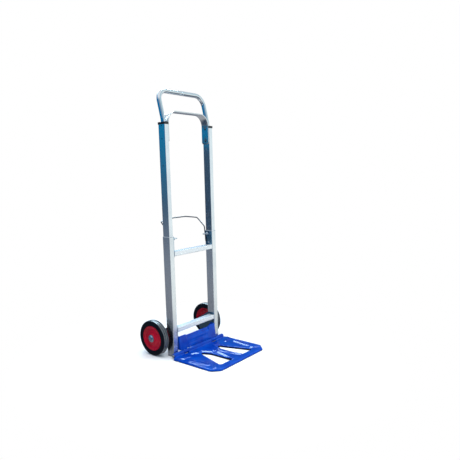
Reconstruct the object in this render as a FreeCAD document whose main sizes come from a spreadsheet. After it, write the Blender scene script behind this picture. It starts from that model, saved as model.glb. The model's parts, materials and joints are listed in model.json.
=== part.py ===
"""Folding two-wheel hand truck with a telescoping mast and a fold-up toe plate.

Frame: +X to the truck's left-to-right, +Z up, and the toe plate points to -Y.
The origin is on the floor, at the middle of the truck's outline seen from above.
All sizes are millimetres and live in the "Sizes" sheet.
"""
import FreeCAD, Part
import math
import os

import Sketcher

Vec = FreeCAD.Vector
os.makedirs("parts", exist_ok=True)
doc = FreeCAD.newDocument("HandTruck")

# ---------------------------------------------------------------- sizes

DRIVING = {
    # frame tubes
    "frame_width": 290, "tube_width": 25.4, "tube_depth": 38.1, "tube_wall": 1.5,
    "tube_corner": 2.5, "tube_bottom": 3, "lower_tube_length": 495,
    # mast
    "slide_gap": 0.3, "mast_wall": 1.3, "mast_corner": 1.8, "mast_length": 525,
    "mast_overlap": 85, "travel_stop_gap": 11, "cap_rise": 9, "cap_overhang": 1.2,
    "collar_rise": 2.5, "foot_flange": 2, "foot_stem": 12, "plug_flange": 4,
    "plug_length": 24, "cap_stem": 16, "sliding_fit": 0.15,
    # carrying arch
    "arch_width": 36, "arch_thick": 4, "arch_drop": 67, "arch_rise": 54, "arch_bend": 46,
    "arch_offset": 2, "rivet_radius": 2.4, "rivet_head_radius": 4.4, "rivet_head": 1.6,
    "arch_rivet_first": 5, "arch_rivet_pitch": 50,
    # handle
    "handle_side_gap": 0.3, "handle_wall": 1.5, "handle_insert": 168, "handle_lean": 13,
    "handle_rise": 134, "handle_corner": 44, "handle_knee": 60, "handle_knee_rise": 18,
    "handle_rivet_up": 10, "handle_cap_gap": 0.1,
    # crossbars
    "bar_height": 19.4, "bar_depth": 28, "bar_wall": 1.5, "bar_corner": 2,
    "mid_bar_drop": 78.5, "low_bar_z": 100.5, "block_length": 14, "block_gap": 0.1,
    # latch
    "plate_inset": 1.5, "latch_plate_thick": 2, "latch_lip": 5, "latch_lip_front": 5,
    "latch_lip_back": 9, "latch_plate_drop": 4, "lock_drop": 10,
    "lock_barrel_radius": 6.5, "lock_barrel_length": 18, "lock_bore_radius": 5.1,
    "lock_pin_radius": 2.5, "lock_pin_reach": 35, "lock_collar_radius": 4.7,
    "lock_collar_thick": 2, "lock_end_wall": 2, "lock_side_gap": 0.2, "pin_fit": 0.08,
    "spring_wire": 0.8, "spring_gap": 0.5, "latch_rivet_drop": 49,
    # release bail
    "bail_radius": 2.5, "bail_pivot_drop": 46, "bail_pivot_inset": 6.1, "bail_inset": 3.1,
    "bail_knee_rise": 67, "bail_knee_step": 6, "bail_top_rise": 105, "bail_top_step": 46,
    "bail_crown": 10, "bail_bend": 9,
    # wheel brackets and axle
    "bracket_thick": 3, "bracket_top": 128, "bracket_bottom": 24, "bracket_boss": 17,
    "bracket_foot_back": 74, "axle_setback": 89, "axle_radius": 6, "axle_fit": 0.05,
    "spacer_radius": 9, "bolt_radius": 3, "bolt_head_radius": 5.5, "bolt_head": 2.4,
    "bolt_low_z": 60, "bolt_high_z": 95,
    # wheels
    "wheel_radius": 75, "wheel_width": 32, "wheel_room": 8, "tyre_thick": 23,
    "rim_lip": 3.5, "rim_lip_width": 4, "rim_lip_thick": 2.5, "web_outer_x": 11,
    "web_thick": 5, "web_dish": 3, "hub_radius": 17, "hub_bore": 10, "hub_length": 34,
    "groove_width": 2.2, "groove_depth": 2, "groove_place": 5, "tread_crown": 4,
    "tread_shoulder": 2, "bulge_rise": 11, "bead_rise": 3, "cap_radius": 16, "cap_height": 7,
    "wheel_side_gap": 0.4,
    # toe plate and its hinge
    "toe_side_reach": 26, "toe_front": 245, "toe_thick": 9, "toe_skin": 3, "toe_corner": 38,
    "toe_wall": 3, "hinge_back": -10, "hinge_z": 13, "hinge_rod_radius": 4,
    "knuckle_radius": 9, "knuckle_fit": 0.08, "knuckle_side_gap": 0.6,
    "lug_inset": 14.6, "lug_width": 25, "toe_ear_reach": 15, "rod_cap_thick": 3,
    "rod_cap_wall": 2.5,
    "opening_inner": 33, "opening_back": 72, "opening_front_inset": 31,
    "opening_shoulder": 62,
    "opening_side_inset": 65, "opening_inner_back": 104, "boss_radius": 13, "boss_rise": 3,
    "boss_hole_radius": 4, "boss_back": 96,
    # hinge bracket
    "panel_thick": 2.5, "panel_bottom": 24, "panel_top": 82, "panel_notch": 6,
    "panel_notch_half": 74, "panel_flange": 30, "panel_lean_low": 12, "panel_lean_top": 4,
    "panel_lug_rise": 8, "flange_chamfer_back": 10, "flange_chamfer_drop": 14,
}

sheet = doc.addObject("Spreadsheet::Sheet", "Sizes")
for row, (alias, value) in enumerate(DRIVING.items(), start=1):
    sheet.set(f"A{row}", alias)
    sheet.set(f"B{row}", str(value))
    sheet.setAlias(f"B{row}", alias)

# Sizes worked out from the driving ones: a cell each, so every feature can bind to them.
DERIVED = {
    "frame_front": "(toe_front - axle_setback - wheel_radius) / 2",
    "tube_top": "tube_bottom + lower_tube_length",
    "tube_inner_x": "frame_width / 2 - tube_width",
    "tube_centre_x": "frame_width / 2 - tube_width / 2",
    "tube_centre_y": "tube_depth / 2",
    "mast_width": "tube_width - 2 * tube_wall - 2 * slide_gap",
    "mast_depth": "tube_depth - 2 * tube_wall - 2 * slide_gap",
    "mast_bottom": "tube_bottom + lower_tube_length - mast_overlap",
    "mast_top": "tube_bottom + lower_tube_length - mast_overlap + mast_length",
    "mast_inner_x": "frame_width / 2 - tube_width + tube_wall + slide_gap",
    "mast_outer_x": "frame_width / 2 - tube_wall - slide_gap",
    "bracket_inner_x": "frame_width / 2 - tube_width - bracket_thick",
    "latch_inner_x": "frame_width / 2 - tube_width - latch_plate_thick",
    "mast_travel": "mast_length - mast_overlap - arch_drop - travel_stop_gap",
    "handle_radius": "tube_width / 2 - tube_wall - slide_gap - mast_wall - handle_side_gap",
    "lock_z": "tube_bottom + lower_tube_length - lock_drop",
    "latch_rivet_z": "tube_bottom + lower_tube_length - latch_rivet_drop",
    "mid_bar_z": "tube_bottom + lower_tube_length - mid_bar_drop",
    "bail_pivot_z": "tube_bottom + lower_tube_length - bail_pivot_drop",
    "bail_pivot_back": "tube_depth - bail_pivot_inset",
    "wheel_inner_x": "frame_width / 2 + wheel_room",
    "wheel_centre_x": "frame_width / 2 + wheel_room + hub_length / 2",
    "wheel_outer_x": "frame_width / 2 + wheel_room + hub_length",
    "rim_radius": "wheel_radius - tyre_thick",
    "toe_width": "frame_width + 2 * toe_side_reach",
    "toe_ear_outer": "frame_width / 2 + toe_ear_reach",
    "lug_outer": "frame_width / 2 - tube_width - bracket_thick - lug_inset",
    "toe_knuckle_half": "frame_width / 2 - tube_width - bracket_thick - lug_inset - lug_width",
    "opening_front": "toe_front - opening_front_inset",
    "opening_outer": "frame_width / 2 + toe_side_reach - opening_side_inset",
}
for row, (alias, formula) in enumerate(DERIVED.items(), start=len(DRIVING) + 1):
    sheet.set(f"A{row}", alias)
    sheet.set(f"B{row}", "=" + formula)
    sheet.setAlias(f"B{row}", alias)
doc.recompute()


def size(alias):
    """A size from the sheet, as a plain number."""
    value = sheet.get(alias)
    return float(getattr(value, "Value", value))


def bound(expression):
    """An expression on the sheet's cells, with every alias given its sheet's name."""
    names = sorted(list(DRIVING) + list(DERIVED), key=len, reverse=True)
    out = ""
    word = ""
    for letter in expression + " ":
        if letter.isalnum() or letter == "_":
            word += letter
            continue
        out += f"Sizes.{word}" if word in names else word
        out += letter
        word = ""
    return out.strip()


def worked_out(expression):
    """The present value of an expression on the sheet's cells."""
    scratch.setExpression("Value", bound(expression))
    scratch.recompute()
    return float(scratch.Value)


scratch = doc.addObject("App::FeaturePython", "ScratchValue")
scratch.addProperty("App::PropertyFloat", "Value")

# ---------------------------------------------------------------- building helpers

PIECES = []


def is_number(text):
    """True if an expression is a plain number, which needs no cell."""
    try:
        float(text)
    except ValueError:
        return False
    return True


def stand_on_frame(piece):
    """Shift a piece from the uprights' front face to the row's own origin."""
    piece.setExpression(".Placement.Base.y", "Sizes.frame_front")
    PIECES.append(piece)


def new_body(label):
    """A PartDesign body in its place behind the uprights' front face."""
    body = doc.addObject("PartDesign::Body", label)
    body.Label = label
    stand_on_frame(body)
    return body


def origin_plane(body, role):
    """One of a body's own origin planes."""
    return next(item for item in body.Origin.OriginFeatures if item.Role == role)


def new_sketch(body, name, role, offset="0"):
    """A sketch on an origin plane, moved along the plane's normal."""
    sketch = body.newObject("Sketcher::SketchObject", name)
    sketch.AttachmentSupport = [(origin_plane(body, role), "")]
    sketch.MapMode = "FlatFace"
    sketch.AttachmentOffset = FreeCAD.Placement(Vec(0, 0, 0), FreeCAD.Rotation())
    sketch.setExpression(".AttachmentOffset.Base.z", bound(offset))
    return sketch


def hold_point(sketch, geometry, point, corner):
    """Tie a sketch point to the sheet, by its two distances from the origin."""
    for kind, expression in (("DistanceX", corner[0]), ("DistanceY", corner[1])):
        value = worked_out(expression)
        index = sketch.addConstraint(Sketcher.Constraint(kind, -1, 1, geometry, point, value))
        if not is_number(expression):
            sketch.setExpression(f"Constraints[{index}]", bound(expression))


def draw_outline(sketch, corners):
    """A closed outline of straight lines through corners given as expressions."""
    spots = [Vec(worked_out(x), worked_out(y), 0) for x, y in corners]
    first = sketch.GeometryCount
    count = len(spots)
    for index, spot in enumerate(spots):
        sketch.addGeometry(Part.LineSegment(spot, spots[(index + 1) % count]), False)
    for index in range(count):
        after = first + (index + 1) % count
        sketch.addConstraint(Sketcher.Constraint("Coincident", first + index, 2, after, 1))
    for index, corner in enumerate(corners):
        hold_point(sketch, first + index, 1, corner)


def draw_box(sketch, low_x, high_x, low_y, high_y):
    """A rectangle from its four sides."""
    draw_outline(sketch, [(low_x, low_y), (high_x, low_y), (high_x, high_y), (low_x, high_y)])


def draw_circle(sketch, x, y, radius):
    """A circle whose centre and radius come from the sheet."""
    centre = Vec(worked_out(x), worked_out(y), 0)
    first = sketch.GeometryCount
    sketch.addGeometry(Part.Circle(centre, Vec(0, 0, 1), worked_out(radius)), False)
    index = sketch.addConstraint(Sketcher.Constraint("Radius", first, worked_out(radius)))
    sketch.setExpression(f"Constraints[{index}]", bound(radius))
    hold_point(sketch, first, 3, (x, y))


def pad(body, sketch, length, centred=False, reverse=False):
    """Pad a sketch by a bound length."""
    feature = body.newObject("PartDesign::Pad", sketch.Name + "Pad")
    feature.Profile = sketch
    feature.setExpression("Length", bound(length))
    feature.Midplane = centred
    feature.Reversed = reverse
    doc.recompute()
    return feature


def pocket(body, sketch, length, centred=False, reverse=False):
    """Cut a sketch out of a body, and make sure that it did cut."""
    before = body.Shape.Volume
    feature = body.newObject("PartDesign::Pocket", sketch.Name + "Pocket")
    feature.Profile = sketch
    feature.setExpression("Length", bound(length))
    feature.Midplane = centred
    feature.Reversed = reverse
    doc.recompute()
    if not body.Shape.Volume < before - 1e-3:
        raise RuntimeError(f"{feature.Name} cut nothing from {body.Label}")
    return feature


def turn(body, sketch, axis):
    """Revolve a sketch a full turn about one of its own axes."""
    feature = body.newObject("PartDesign::Revolution", sketch.Name + "Turn")
    feature.Profile = sketch
    feature.ReferenceAxis = (sketch, [axis])
    feature.Angle = 360
    doc.recompute()
    return feature


def edges_where(feature, test):
    """Names of a feature's edges that pass a test on their two ends."""
    names = []
    for index, edge in enumerate(feature.Shape.Edges, start=1):
        ends = [vertex.Point for vertex in edge.Vertexes]
        if len(ends) == 2 and test(ends[0], ends[1]):
            names.append(f"Edge{index}")
    return names


def round_edges(body, feature, radius, test):
    """Fillet the edges of a feature that pass a test."""
    rounded = body.newObject("PartDesign::Fillet", feature.Name + "Round")
    rounded.Base = (feature, edges_where(feature, test))
    rounded.setExpression("Radius", bound(radius))
    doc.recompute()
    return rounded


def runs_along(axis):
    """A test for straight edges that lie along an axis."""
    others = [name for name in "xyz" if name != axis]

    def test(first, last):
        return all(abs(getattr(first, name) - getattr(last, name)) < 1e-4 for name in others)
    return test


def other_way(expression):
    """The same distance on the other side of the middle."""
    return f"-({expression})"


def sided(side, expression):
    """An expression for the right side (+1) or mirrored to the left (-1)."""
    return expression if side > 0 else other_way(expression)


def side_span(side, near, far):
    """The low and high x of something between two distances from the middle."""
    return (near, far) if side > 0 else (other_way(far), other_way(near))


SIDES = (("left", -1), ("right", 1))


def primitive(kind, label, bindings):
    """A Part primitive whose properties are bound to the sheet."""
    item = doc.addObject(kind, label)
    item.Label = label
    for name, expression in bindings.items():
        item.setExpression(name, bound(expression))
    return item


def rod_along_x(label, start, length, radius, y, z):
    """A cylinder along +X from x = start."""
    item = primitive("Part::Cylinder", label, {"Radius": radius, "Height": length})
    item.Placement = FreeCAD.Placement(Vec(0, 0, 0), FreeCAD.Rotation(Vec(0, 1, 0), 90))
    item.setExpression(".Placement.Base.x", bound(start))
    item.setExpression(".Placement.Base.y", bound(y))
    item.setExpression(".Placement.Base.z", bound(z))
    return item


def block(label, start, span):
    """A box from its low corner and its size along each axis."""
    bindings = {"Length": span[0], "Width": span[1], "Height": span[2]}
    item = primitive("Part::Box", label, bindings)
    for axis, expression in zip("xyz", start):
        item.setExpression(f".Placement.Base.{axis}", bound(expression))
    return item


def fuse(label, items):
    """One solid from several touching or overlapping ones."""
    item = doc.addObject("Part::MultiFuse", label)
    item.Label = label
    item.Shapes = items
    item.Refine = True
    doc.recompute()
    return item


def cut(label, base, tool):
    """A solid with another taken out of it."""
    item = doc.addObject("Part::Cut", label)
    item.Label = label
    item.Base = base
    item.Tool = tool
    doc.recompute()
    return item


def group(label, items):
    """Several separate solids in one node."""
    item = doc.addObject("Part::Compound", label)
    item.Label = label
    item.Links = items
    stand_on_frame(item)
    return item


def keep(item, label):
    """Make a finished Part object a piece of its own."""
    item.Label = label
    stand_on_frame(item)
    return item


def keep_rod(label, half_length, radius, y, z):
    """A plain rod across the whole truck, as a piece of its own."""
    rod = rod_along_x(label, other_way(half_length), f"2 * ({half_length})", radius,
                      f"frame_front + {y}", z)
    PIECES.append(rod)


# ---------------------------------------------------------------- bent rod paths

def rounded_path(corners, radii):
    """Straight runs through corners, joined by tangent arcs of the given radii."""
    edges = []
    start = corners[0]
    for before, corner, after, radius in zip(corners, corners[1:], corners[2:], radii):
        back = (before - corner).normalize()
        ahead = (after - corner).normalize()
        half_turn = math.acos(max(-1, min(1, -back.dot(ahead)))) / 2
        reach = radius * math.tan(half_turn)
        arc_in = corner + back * reach
        arc_out = corner + ahead * reach
        inward = (back + ahead).normalize()
        middle = corner + inward * (radius / math.cos(half_turn) - radius)
        edges.append(Part.LineSegment(start, arc_in).toShape())
        edges.append(Part.Arc(arc_in, middle, arc_out).toShape())
        start = arc_out
    edges.append(Part.LineSegment(start, corners[-1]).toShape())
    return Part.Wire(edges)


def swept_rod(path, radius):
    """A round rod along a path."""
    first = path.Edges[0]
    direction = first.tangentAt(first.FirstParameter)
    start = first.valueAt(first.FirstParameter)
    ring = Part.Wire([Part.Circle(start, direction, radius).toShape()])
    return path.makePipeShell([ring], True, False)


def part_feature(label, shape):
    """A piece whose shape comes from Part's own functions."""
    item = doc.addObject("Part::Feature", label)
    item.Label = label
    item.Shape = shape
    stand_on_frame(item)
    return item


# ---------------------------------------------------------------- lower frame

def hollow_section(label, side, centre_x, width, depth, wall, corner, bottom, length):
    """A rounded rectangular tube that stands upright."""
    body = new_body(label)
    left = f"{sided(side, centre_x)} - ({width}) / 2"
    right = f"{sided(side, centre_x)} + ({width}) / 2"
    front = f"tube_centre_y - ({depth}) / 2"
    back = f"tube_centre_y + ({depth}) / 2"
    outline = new_sketch(body, label + "Outside", "XY_Plane", bottom)
    draw_box(outline, left, right, front, back)
    solid = pad(body, outline, length)
    round_edges(body, solid, corner, runs_along("z"))
    inside = new_sketch(body, label + "Inside", "XY_Plane", f"{bottom} + {length}")
    draw_box(inside, f"{left} + {wall}", f"{right} - {wall}",
             f"{front} + {wall}", f"{back} - {wall}")
    pocket(body, inside, length)
    return body


def cross_hole(body, name, side, near, far, y, z, radius):
    """A round hole along X through one or both walls of an upright."""
    low, _ = side_span(side, near, far)
    sketch = new_sketch(body, name, "YZ_Plane", low)
    draw_circle(sketch, y, z, radius)
    pocket(body, sketch, f"({far}) - ({near})", reverse=True)


def lower_uprights():
    """The two outer tubes of the frame, drilled for what fastens to their inner walls."""
    for name, side in SIDES:
        body = hollow_section(
            f"lower_upright_{name}", side, "tube_centre_x", "tube_width", "tube_depth",
            "tube_wall", "tube_corner", "tube_bottom", "lower_tube_length")
        near = "tube_inner_x"
        far = "tube_inner_x + tube_wall"
        cross_hole(body, f"PinHole_{name}", side, near, far, "tube_centre_y", "lock_z",
                   "lock_pin_radius + pin_fit")
        cross_hole(body, f"LatchRivetHole_{name}", side, near, far, "tube_centre_y",
                   "latch_rivet_z", "rivet_radius")
        for place in ("low", "high"):
            cross_hole(body, f"BoltHole_{place}_{name}", side, near, far, "tube_centre_y",
                       f"bolt_{place}_z", "bolt_radius")


def foot_caps():
    """Plugs that close the bottoms of the outer tubes."""
    for name, side in SIDES:
        left = f"{sided(side, 'tube_centre_x')} - tube_width / 2"
        flange = block(f"FootFlange_{name}", (left, "0", "tube_bottom - foot_flange"),
                       ("tube_width", "tube_depth", "foot_flange"))
        stem = block(f"FootStem_{name}",
                     (f"{left} + tube_wall", "tube_wall", "tube_bottom - 1"),
                     ("tube_width - 2 * tube_wall", "tube_depth - 2 * tube_wall",
                      "foot_stem + 1"))
        keep(fuse(f"FootCap_{name}", [flange, stem]), f"foot_cap_{name}")


def tube_collars():
    """Thin guide rings on the tops of the outer tubes."""
    for name, side in SIDES:
        left = f"{sided(side, 'tube_centre_x')} - tube_width / 2"
        margin = "tube_wall + slide_gap - sliding_fit"
        ring = block(f"CollarRing_{name}", (left, "0", "tube_top"),
                     ("tube_width", "tube_depth", "collar_rise"))
        way = block(f"CollarWay_{name}",
                    (f"{left} + {margin}", margin, "tube_top - 1"),
                    (f"tube_width - 2 * ({margin})", f"tube_depth - 2 * ({margin})",
                     "collar_rise + 2"))
        keep(cut(f"Collar_{name}", ring, way), f"tube_collar_{name}")


def crossbar(label, bottom, half_length):
    """A rectangular tube across the frame, flush with the uprights' front faces."""
    body = new_body(label)
    outline = new_sketch(body, label + "Outside", "YZ_Plane", "0")
    draw_box(outline, "0", "bar_depth", bottom, f"{bottom} + bar_height")
    solid = pad(body, outline, f"2 * ({half_length})", centred=True)
    round_edges(body, solid, "bar_corner", runs_along("x"))
    inside = new_sketch(body, label + "Inside", "YZ_Plane", "0")
    draw_box(inside, "bar_wall", "bar_depth - bar_wall", f"{bottom} + bar_wall",
             f"{bottom} + bar_height - bar_wall")
    pocket(body, inside, f"2 * ({half_length}) + 2", centred=True)
    holes = new_sketch(body, label + "RivetHoles", "XZ_Plane", "-(bar_depth)")
    for side in (-1, 1):
        draw_circle(holes, sided(side, f"{half_length} - block_length / 2"),
                    f"{bottom} + bar_height / 2", "rivet_radius")
    pocket(body, holes, "bar_wall", reverse=True)


def crossbar_blocks():
    """Solid blocks inside the bars' ends, each drilled for the rivet that holds its bar."""
    blocks = []
    for bar, bottom, half_length in CROSSBARS:
        for name, side in SIDES:
            low, _ = side_span(side, f"{half_length} - block_length", half_length)
            margin = "bar_wall + block_gap"
            body = block(f"Block_{bar}_{name}", (low, margin, f"{bottom} + {margin}"),
                         ("block_length", f"bar_depth - 2 * ({margin})",
                          f"bar_height - 2 * ({margin})"))
            drill = primitive("Part::Cylinder", f"BlockDrill_{bar}_{name}",
                              {"Radius": "rivet_radius", "Height": "bar_depth / 2"})
            drill.Placement = FreeCAD.Placement(Vec(), FreeCAD.Rotation(Vec(1, 0, 0), -90))
            middle = sided(side, f"{half_length} - block_length / 2")
            drill.setExpression(".Placement.Base.x", bound(middle))
            drill.setExpression(".Placement.Base.y", bound("bar_depth / 2"))
            drill.setExpression(".Placement.Base.z", bound(f"{bottom} + bar_height / 2"))
            blocks.append(cut(f"DrilledBlock_{bar}_{name}", body, drill))
    group("crossbar_end_blocks", blocks)


def crossbar_rivets():
    """Rivets from the back of each bar into its end blocks."""
    rivets = []
    for bar, bottom, half_length in CROSSBARS:
        for name, side in SIDES:
            middle = sided(side, f"{half_length} - block_length / 2")
            stem = primitive("Part::Cylinder", f"BarRivetStem_{bar}_{name}",
                             {"Radius": "rivet_radius", "Height": "bar_depth / 2"})
            head = primitive("Part::Cone", f"BarRivetHead_{bar}_{name}",
                             {"Radius1": "rivet_head_radius", "Radius2": "rivet_radius",
                              "Height": "rivet_head"})
            for item, start in ((stem, "bar_depth / 2"), (head, "bar_depth")):
                item.Placement = FreeCAD.Placement(Vec(), FreeCAD.Rotation(Vec(1, 0, 0), -90))
                item.setExpression(".Placement.Base.x", bound(middle))
                item.setExpression(".Placement.Base.y", bound(start))
                item.setExpression(".Placement.Base.z", bound(f"{bottom} + bar_height / 2"))
            rivets.append(fuse(f"BarRivet_{bar}_{name}", [stem, head]))
    group("crossbar_rivets", rivets)


CROSSBARS = (
    ("mid", "mid_bar_z", "latch_inner_x"),
    ("low", "low_bar_z", "bracket_inner_x"),
)

# ---------------------------------------------------------------- latch and release

def latch_plates():
    """Plates on the uprights' inner faces, each with a lip over its lock barrel."""
    for name, side in SIDES:
        label = f"latch_plate_{name}"
        body = new_body(label)
        low, _ = side_span(side, "latch_inner_x", "tube_inner_x")
        face = new_sketch(body, label + "Face", "YZ_Plane", low)
        draw_box(face, "plate_inset", "tube_depth - plate_inset",
                 "mid_bar_z - latch_plate_drop", "tube_top")
        pad(body, face, "latch_plate_thick")
        lip_low, _ = side_span(side, "latch_inner_x - latch_lip", "latch_inner_x + 0.5")
        lip = new_sketch(body, label + "Lip", "YZ_Plane", lip_low)
        draw_box(lip, "latch_lip_front", "tube_depth - latch_lip_back",
                 "tube_top - latch_plate_thick", "tube_top")
        pad(body, lip, "latch_lip + 0.5")
        for hole, y, z, radius in (
                ("Pin", "tube_centre_y", "lock_z", "lock_pin_radius + pin_fit"),
                ("Rivet", "tube_centre_y", "latch_rivet_z", "rivet_radius"),
                ("Pivot", "bail_pivot_back", "bail_pivot_z", "bail_radius + pin_fit")):
            cross_hole(body, f"{label}{hole}", side, "latch_inner_x", "tube_inner_x",
                       y, z, radius)


def latch_rivets():
    """One rivet through each latch plate and the wall behind it."""
    rivets = []
    for name, side in SIDES:
        near = "latch_inner_x"
        far = "tube_inner_x + tube_wall"
        low, _ = side_span(side, near, far)
        stem = rod_along_x(f"LatchRivetStem_{name}", low, f"{far} - ({near})", "rivet_radius",
                           "tube_centre_y", "latch_rivet_z")
        low, _ = side_span(side, f"{near} - rivet_head", near)
        head = rod_along_x(f"LatchRivetHead_{name}", low, "rivet_head", "rivet_head_radius",
                           "tube_centre_y", "latch_rivet_z")
        rivets.append(fuse(f"LatchRivet_{name}", [stem, head]))
    group("latch_rivets", rivets)


def lock_barrels():
    """Spring barrels on the latch plates, open to the plate and closed inboard."""
    for name, side in SIDES:
        near = "latch_inner_x - lock_barrel_length"
        low, _ = side_span(side, near, "latch_inner_x")
        shell = rod_along_x(f"BarrelShell_{name}", low, "lock_barrel_length",
                            "lock_barrel_radius", "tube_centre_y", "lock_z")
        low, _ = side_span(side, f"{near} + lock_end_wall", "latch_inner_x + 1")
        bore = rod_along_x(f"BarrelBore_{name}", low,
                           "lock_barrel_length - lock_end_wall + 1", "lock_bore_radius",
                           "tube_centre_y", "lock_z")
        low, _ = side_span(side, f"{near} - 1", f"{near} + lock_end_wall + 1")
        way = rod_along_x(f"BarrelWay_{name}", low, "lock_end_wall + 2",
                          "lock_pin_radius + pin_fit", "tube_centre_y", "lock_z")
        hollow = fuse(f"BarrelHollow_{name}", [bore, way])
        keep(cut(f"Barrel_{name}", shell, hollow), f"lock_barrel_{name}")


def lock_pins():
    """Lock pins with a spring collar. At rest a tip fills its hole in the outer tube's wall."""
    for name, side in SIDES:
        tip = "tube_inner_x + tube_wall"
        near = "latch_inner_x - lock_pin_reach"
        low, _ = side_span(side, near, tip)
        shaft = rod_along_x(f"PinShaft_{name}", low, f"{tip} - ({near})", "lock_pin_radius",
                            "tube_centre_y", "lock_z")
        collar_far = "latch_inner_x - lock_side_gap"
        low, _ = side_span(side, f"{collar_far} - lock_collar_thick", collar_far)
        collar = rod_along_x(f"PinCollar_{name}", low, "lock_collar_thick",
                             "lock_collar_radius", "tube_centre_y", "lock_z")
        keep(fuse(f"Pin_{name}", [shaft, collar]), f"lock_pin_{name}")


def lock_springs():
    """Coil springs between each barrel's end wall and its pin's collar."""
    wire = size("spring_wire") / 2
    inner = size("latch_inner_x") - size("lock_barrel_length") + size("lock_end_wall")
    outer = size("latch_inner_x") - size("lock_side_gap") - size("lock_collar_thick")
    clear = size("spring_gap")
    coil_radius = (size("lock_pin_radius") + size("lock_bore_radius")) / 2
    length = outer - inner - 2 * clear - 2 * wire
    turns = 6
    for name, side in SIDES:
        helix = Part.makeHelix(length / turns, length, coil_radius)
        ring = Part.Wire([Part.Circle(Vec(coil_radius, 0, 0), Vec(0, 1, 0), wire).toShape()])
        coil = Part.Wire(helix).makePipeShell([ring], True, True)
        start = Vec(side * (inner + clear + wire), size("tube_centre_y"), size("lock_z"))
        turned = FreeCAD.Placement(start, FreeCAD.Rotation(Vec(0, 1, 0), 90 * side))
        coil.transformShape(turned.Matrix, True)
        part_feature(f"lock_spring_{name}", coil)


def bail():
    """The bent wire that pulls both lock pins: two legs and a crowned top."""
    leg_x = size("latch_inner_x") - size("bail_inset")
    end_x = size("tube_inner_x") - size("lock_side_gap")
    pivot = (size("bail_pivot_back"), size("bail_pivot_z"))
    knee = (pivot[0] + size("bail_knee_step"), pivot[1] + size("bail_knee_rise"))
    top = (pivot[0] + size("bail_top_step"), pivot[1] + size("bail_top_rise"))
    crown_x = leg_x / 3
    right = [
        Vec(end_x, *pivot),
        Vec(leg_x, *pivot),
        Vec(leg_x, *knee),
        Vec(leg_x - 2, *top),
        Vec(crown_x, top[0], top[1] + size("bail_crown")),
    ]
    left = [Vec(-spot.x, spot.y, spot.z) for spot in reversed(right)]
    bend = size("bail_bend")
    tight = size("bail_radius") * 1.15
    radii = [tight, 2 * bend, bend, 8 * bend, 8 * bend, bend, 2 * bend, tight]
    path = rounded_path(right + left, radii)
    part_feature("release_bail", swept_rod(path, size("bail_radius")))


# ---------------------------------------------------------------- wheel brackets and axle

def wheel_brackets():
    """Gusset plates on the uprights' inner faces that reach back to the axle."""
    for name, side in SIDES:
        label = f"wheel_bracket_{name}"
        low, _ = side_span(side, "bracket_inner_x", "tube_inner_x")
        body = new_body(label)
        face = new_sketch(body, label + "Face", "YZ_Plane", low)
        draw_outline(face, [
            ("plate_inset", "bracket_bottom"),
            ("bracket_foot_back", "bracket_bottom"),
            ("axle_setback + bracket_boss * 0.86", "wheel_radius - bracket_boss * 0.51"),
            ("axle_setback + bracket_boss * 0.86", "wheel_radius + bracket_boss * 0.51"),
            ("axle_setback + bracket_boss * 0.3", "wheel_radius + bracket_boss * 0.95"),
            ("tube_depth - 3", "bracket_top"),
            ("plate_inset", "bracket_top"),
        ])
        solid = pad(body, face, "bracket_thick")
        round_edges(body, solid, "bracket_boss / 4", runs_along("x"))
        cross_hole(body, label + "AxleHole", side, "bracket_inner_x", "tube_inner_x",
                   "axle_setback", "wheel_radius", "axle_radius")
        for place in ("low", "high"):
            cross_hole(body, f"{label}{place}", side, "bracket_inner_x", "tube_inner_x",
                       "tube_centre_y", f"bolt_{place}_z", "bolt_radius")


def bracket_bolts():
    """Two round-head bolts through each wheel bracket, the panel flange and the tube wall."""
    bolts = []
    for name, side in SIDES:
        for place in ("low", "high"):
            z = f"bolt_{place}_z"
            face = "bracket_inner_x"
            if place == "low":
                face = "bracket_inner_x - panel_thick"
            far = "tube_inner_x + tube_wall"
            low, _ = side_span(side, face, far)
            stem = rod_along_x(f"BoltStem_{place}_{name}", low, f"{far} - ({face})",
                               "bolt_radius", "tube_centre_y", z)
            low, _ = side_span(side, f"{face} - bolt_head", face)
            head = rod_along_x(f"BoltHead_{place}_{name}", low, "bolt_head",
                               "bolt_head_radius", "tube_centre_y", z)
            bolts.append(fuse(f"Bolt_{place}_{name}", [stem, head]))
    group("bracket_bolts", bolts)


def axle():
    """The axle rod, right through both brackets and both wheels."""
    keep_rod("axle", "wheel_outer_x + wheel_side_gap + 3", "axle_radius", "axle_setback",
             "wheel_radius")


def axle_spacers():
    """Sleeves on the axle between each bracket and its wheel."""
    for name, side in SIDES:
        near = "tube_inner_x"
        far = "wheel_inner_x - wheel_side_gap"
        low, _ = side_span(side, near, far)
        sleeve = rod_along_x(f"SleeveOutside_{name}", low, f"{far} - {near}",
                             "spacer_radius", "axle_setback", "wheel_radius")
        low, _ = side_span(side, f"{near} - 1", f"{far} + 1")
        bore = rod_along_x(f"SleeveBore_{name}", low, f"{far} - {near} + 2",
                           "axle_radius", "axle_setback", "wheel_radius")
        keep(cut(f"Sleeve_{name}", sleeve, bore), f"axle_spacer_{name}")


# ---------------------------------------------------------------- wheels

def wheel_profile(label, side, points):
    """A body turned about the axle from points given as (x from centre, radius)."""
    body = new_body(label)
    sketch = body.newObject("Sketcher::SketchObject", label + "Profile")
    sketch.AttachmentSupport = [(origin_plane(body, "XZ_Plane"), "")]
    sketch.MapMode = "FlatFace"
    sketch.AttachmentOffset = FreeCAD.Placement(Vec(0, 0, 0), FreeCAD.Rotation())
    draw_outline(sketch, points)
    turn(body, sketch, "H_Axis")
    body.Placement = FreeCAD.Placement(Vec(0, 0, 0), FreeCAD.Rotation(Vec(0, 0, 1), 90 - 90 * side))
    body.setExpression(".Placement.Base.x", bound(sided(side, "wheel_centre_x")))
    body.setExpression(".Placement.Base.y", bound("frame_front + axle_setback"))
    body.setExpression(".Placement.Base.z", bound("wheel_radius"))
    return body


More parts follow.
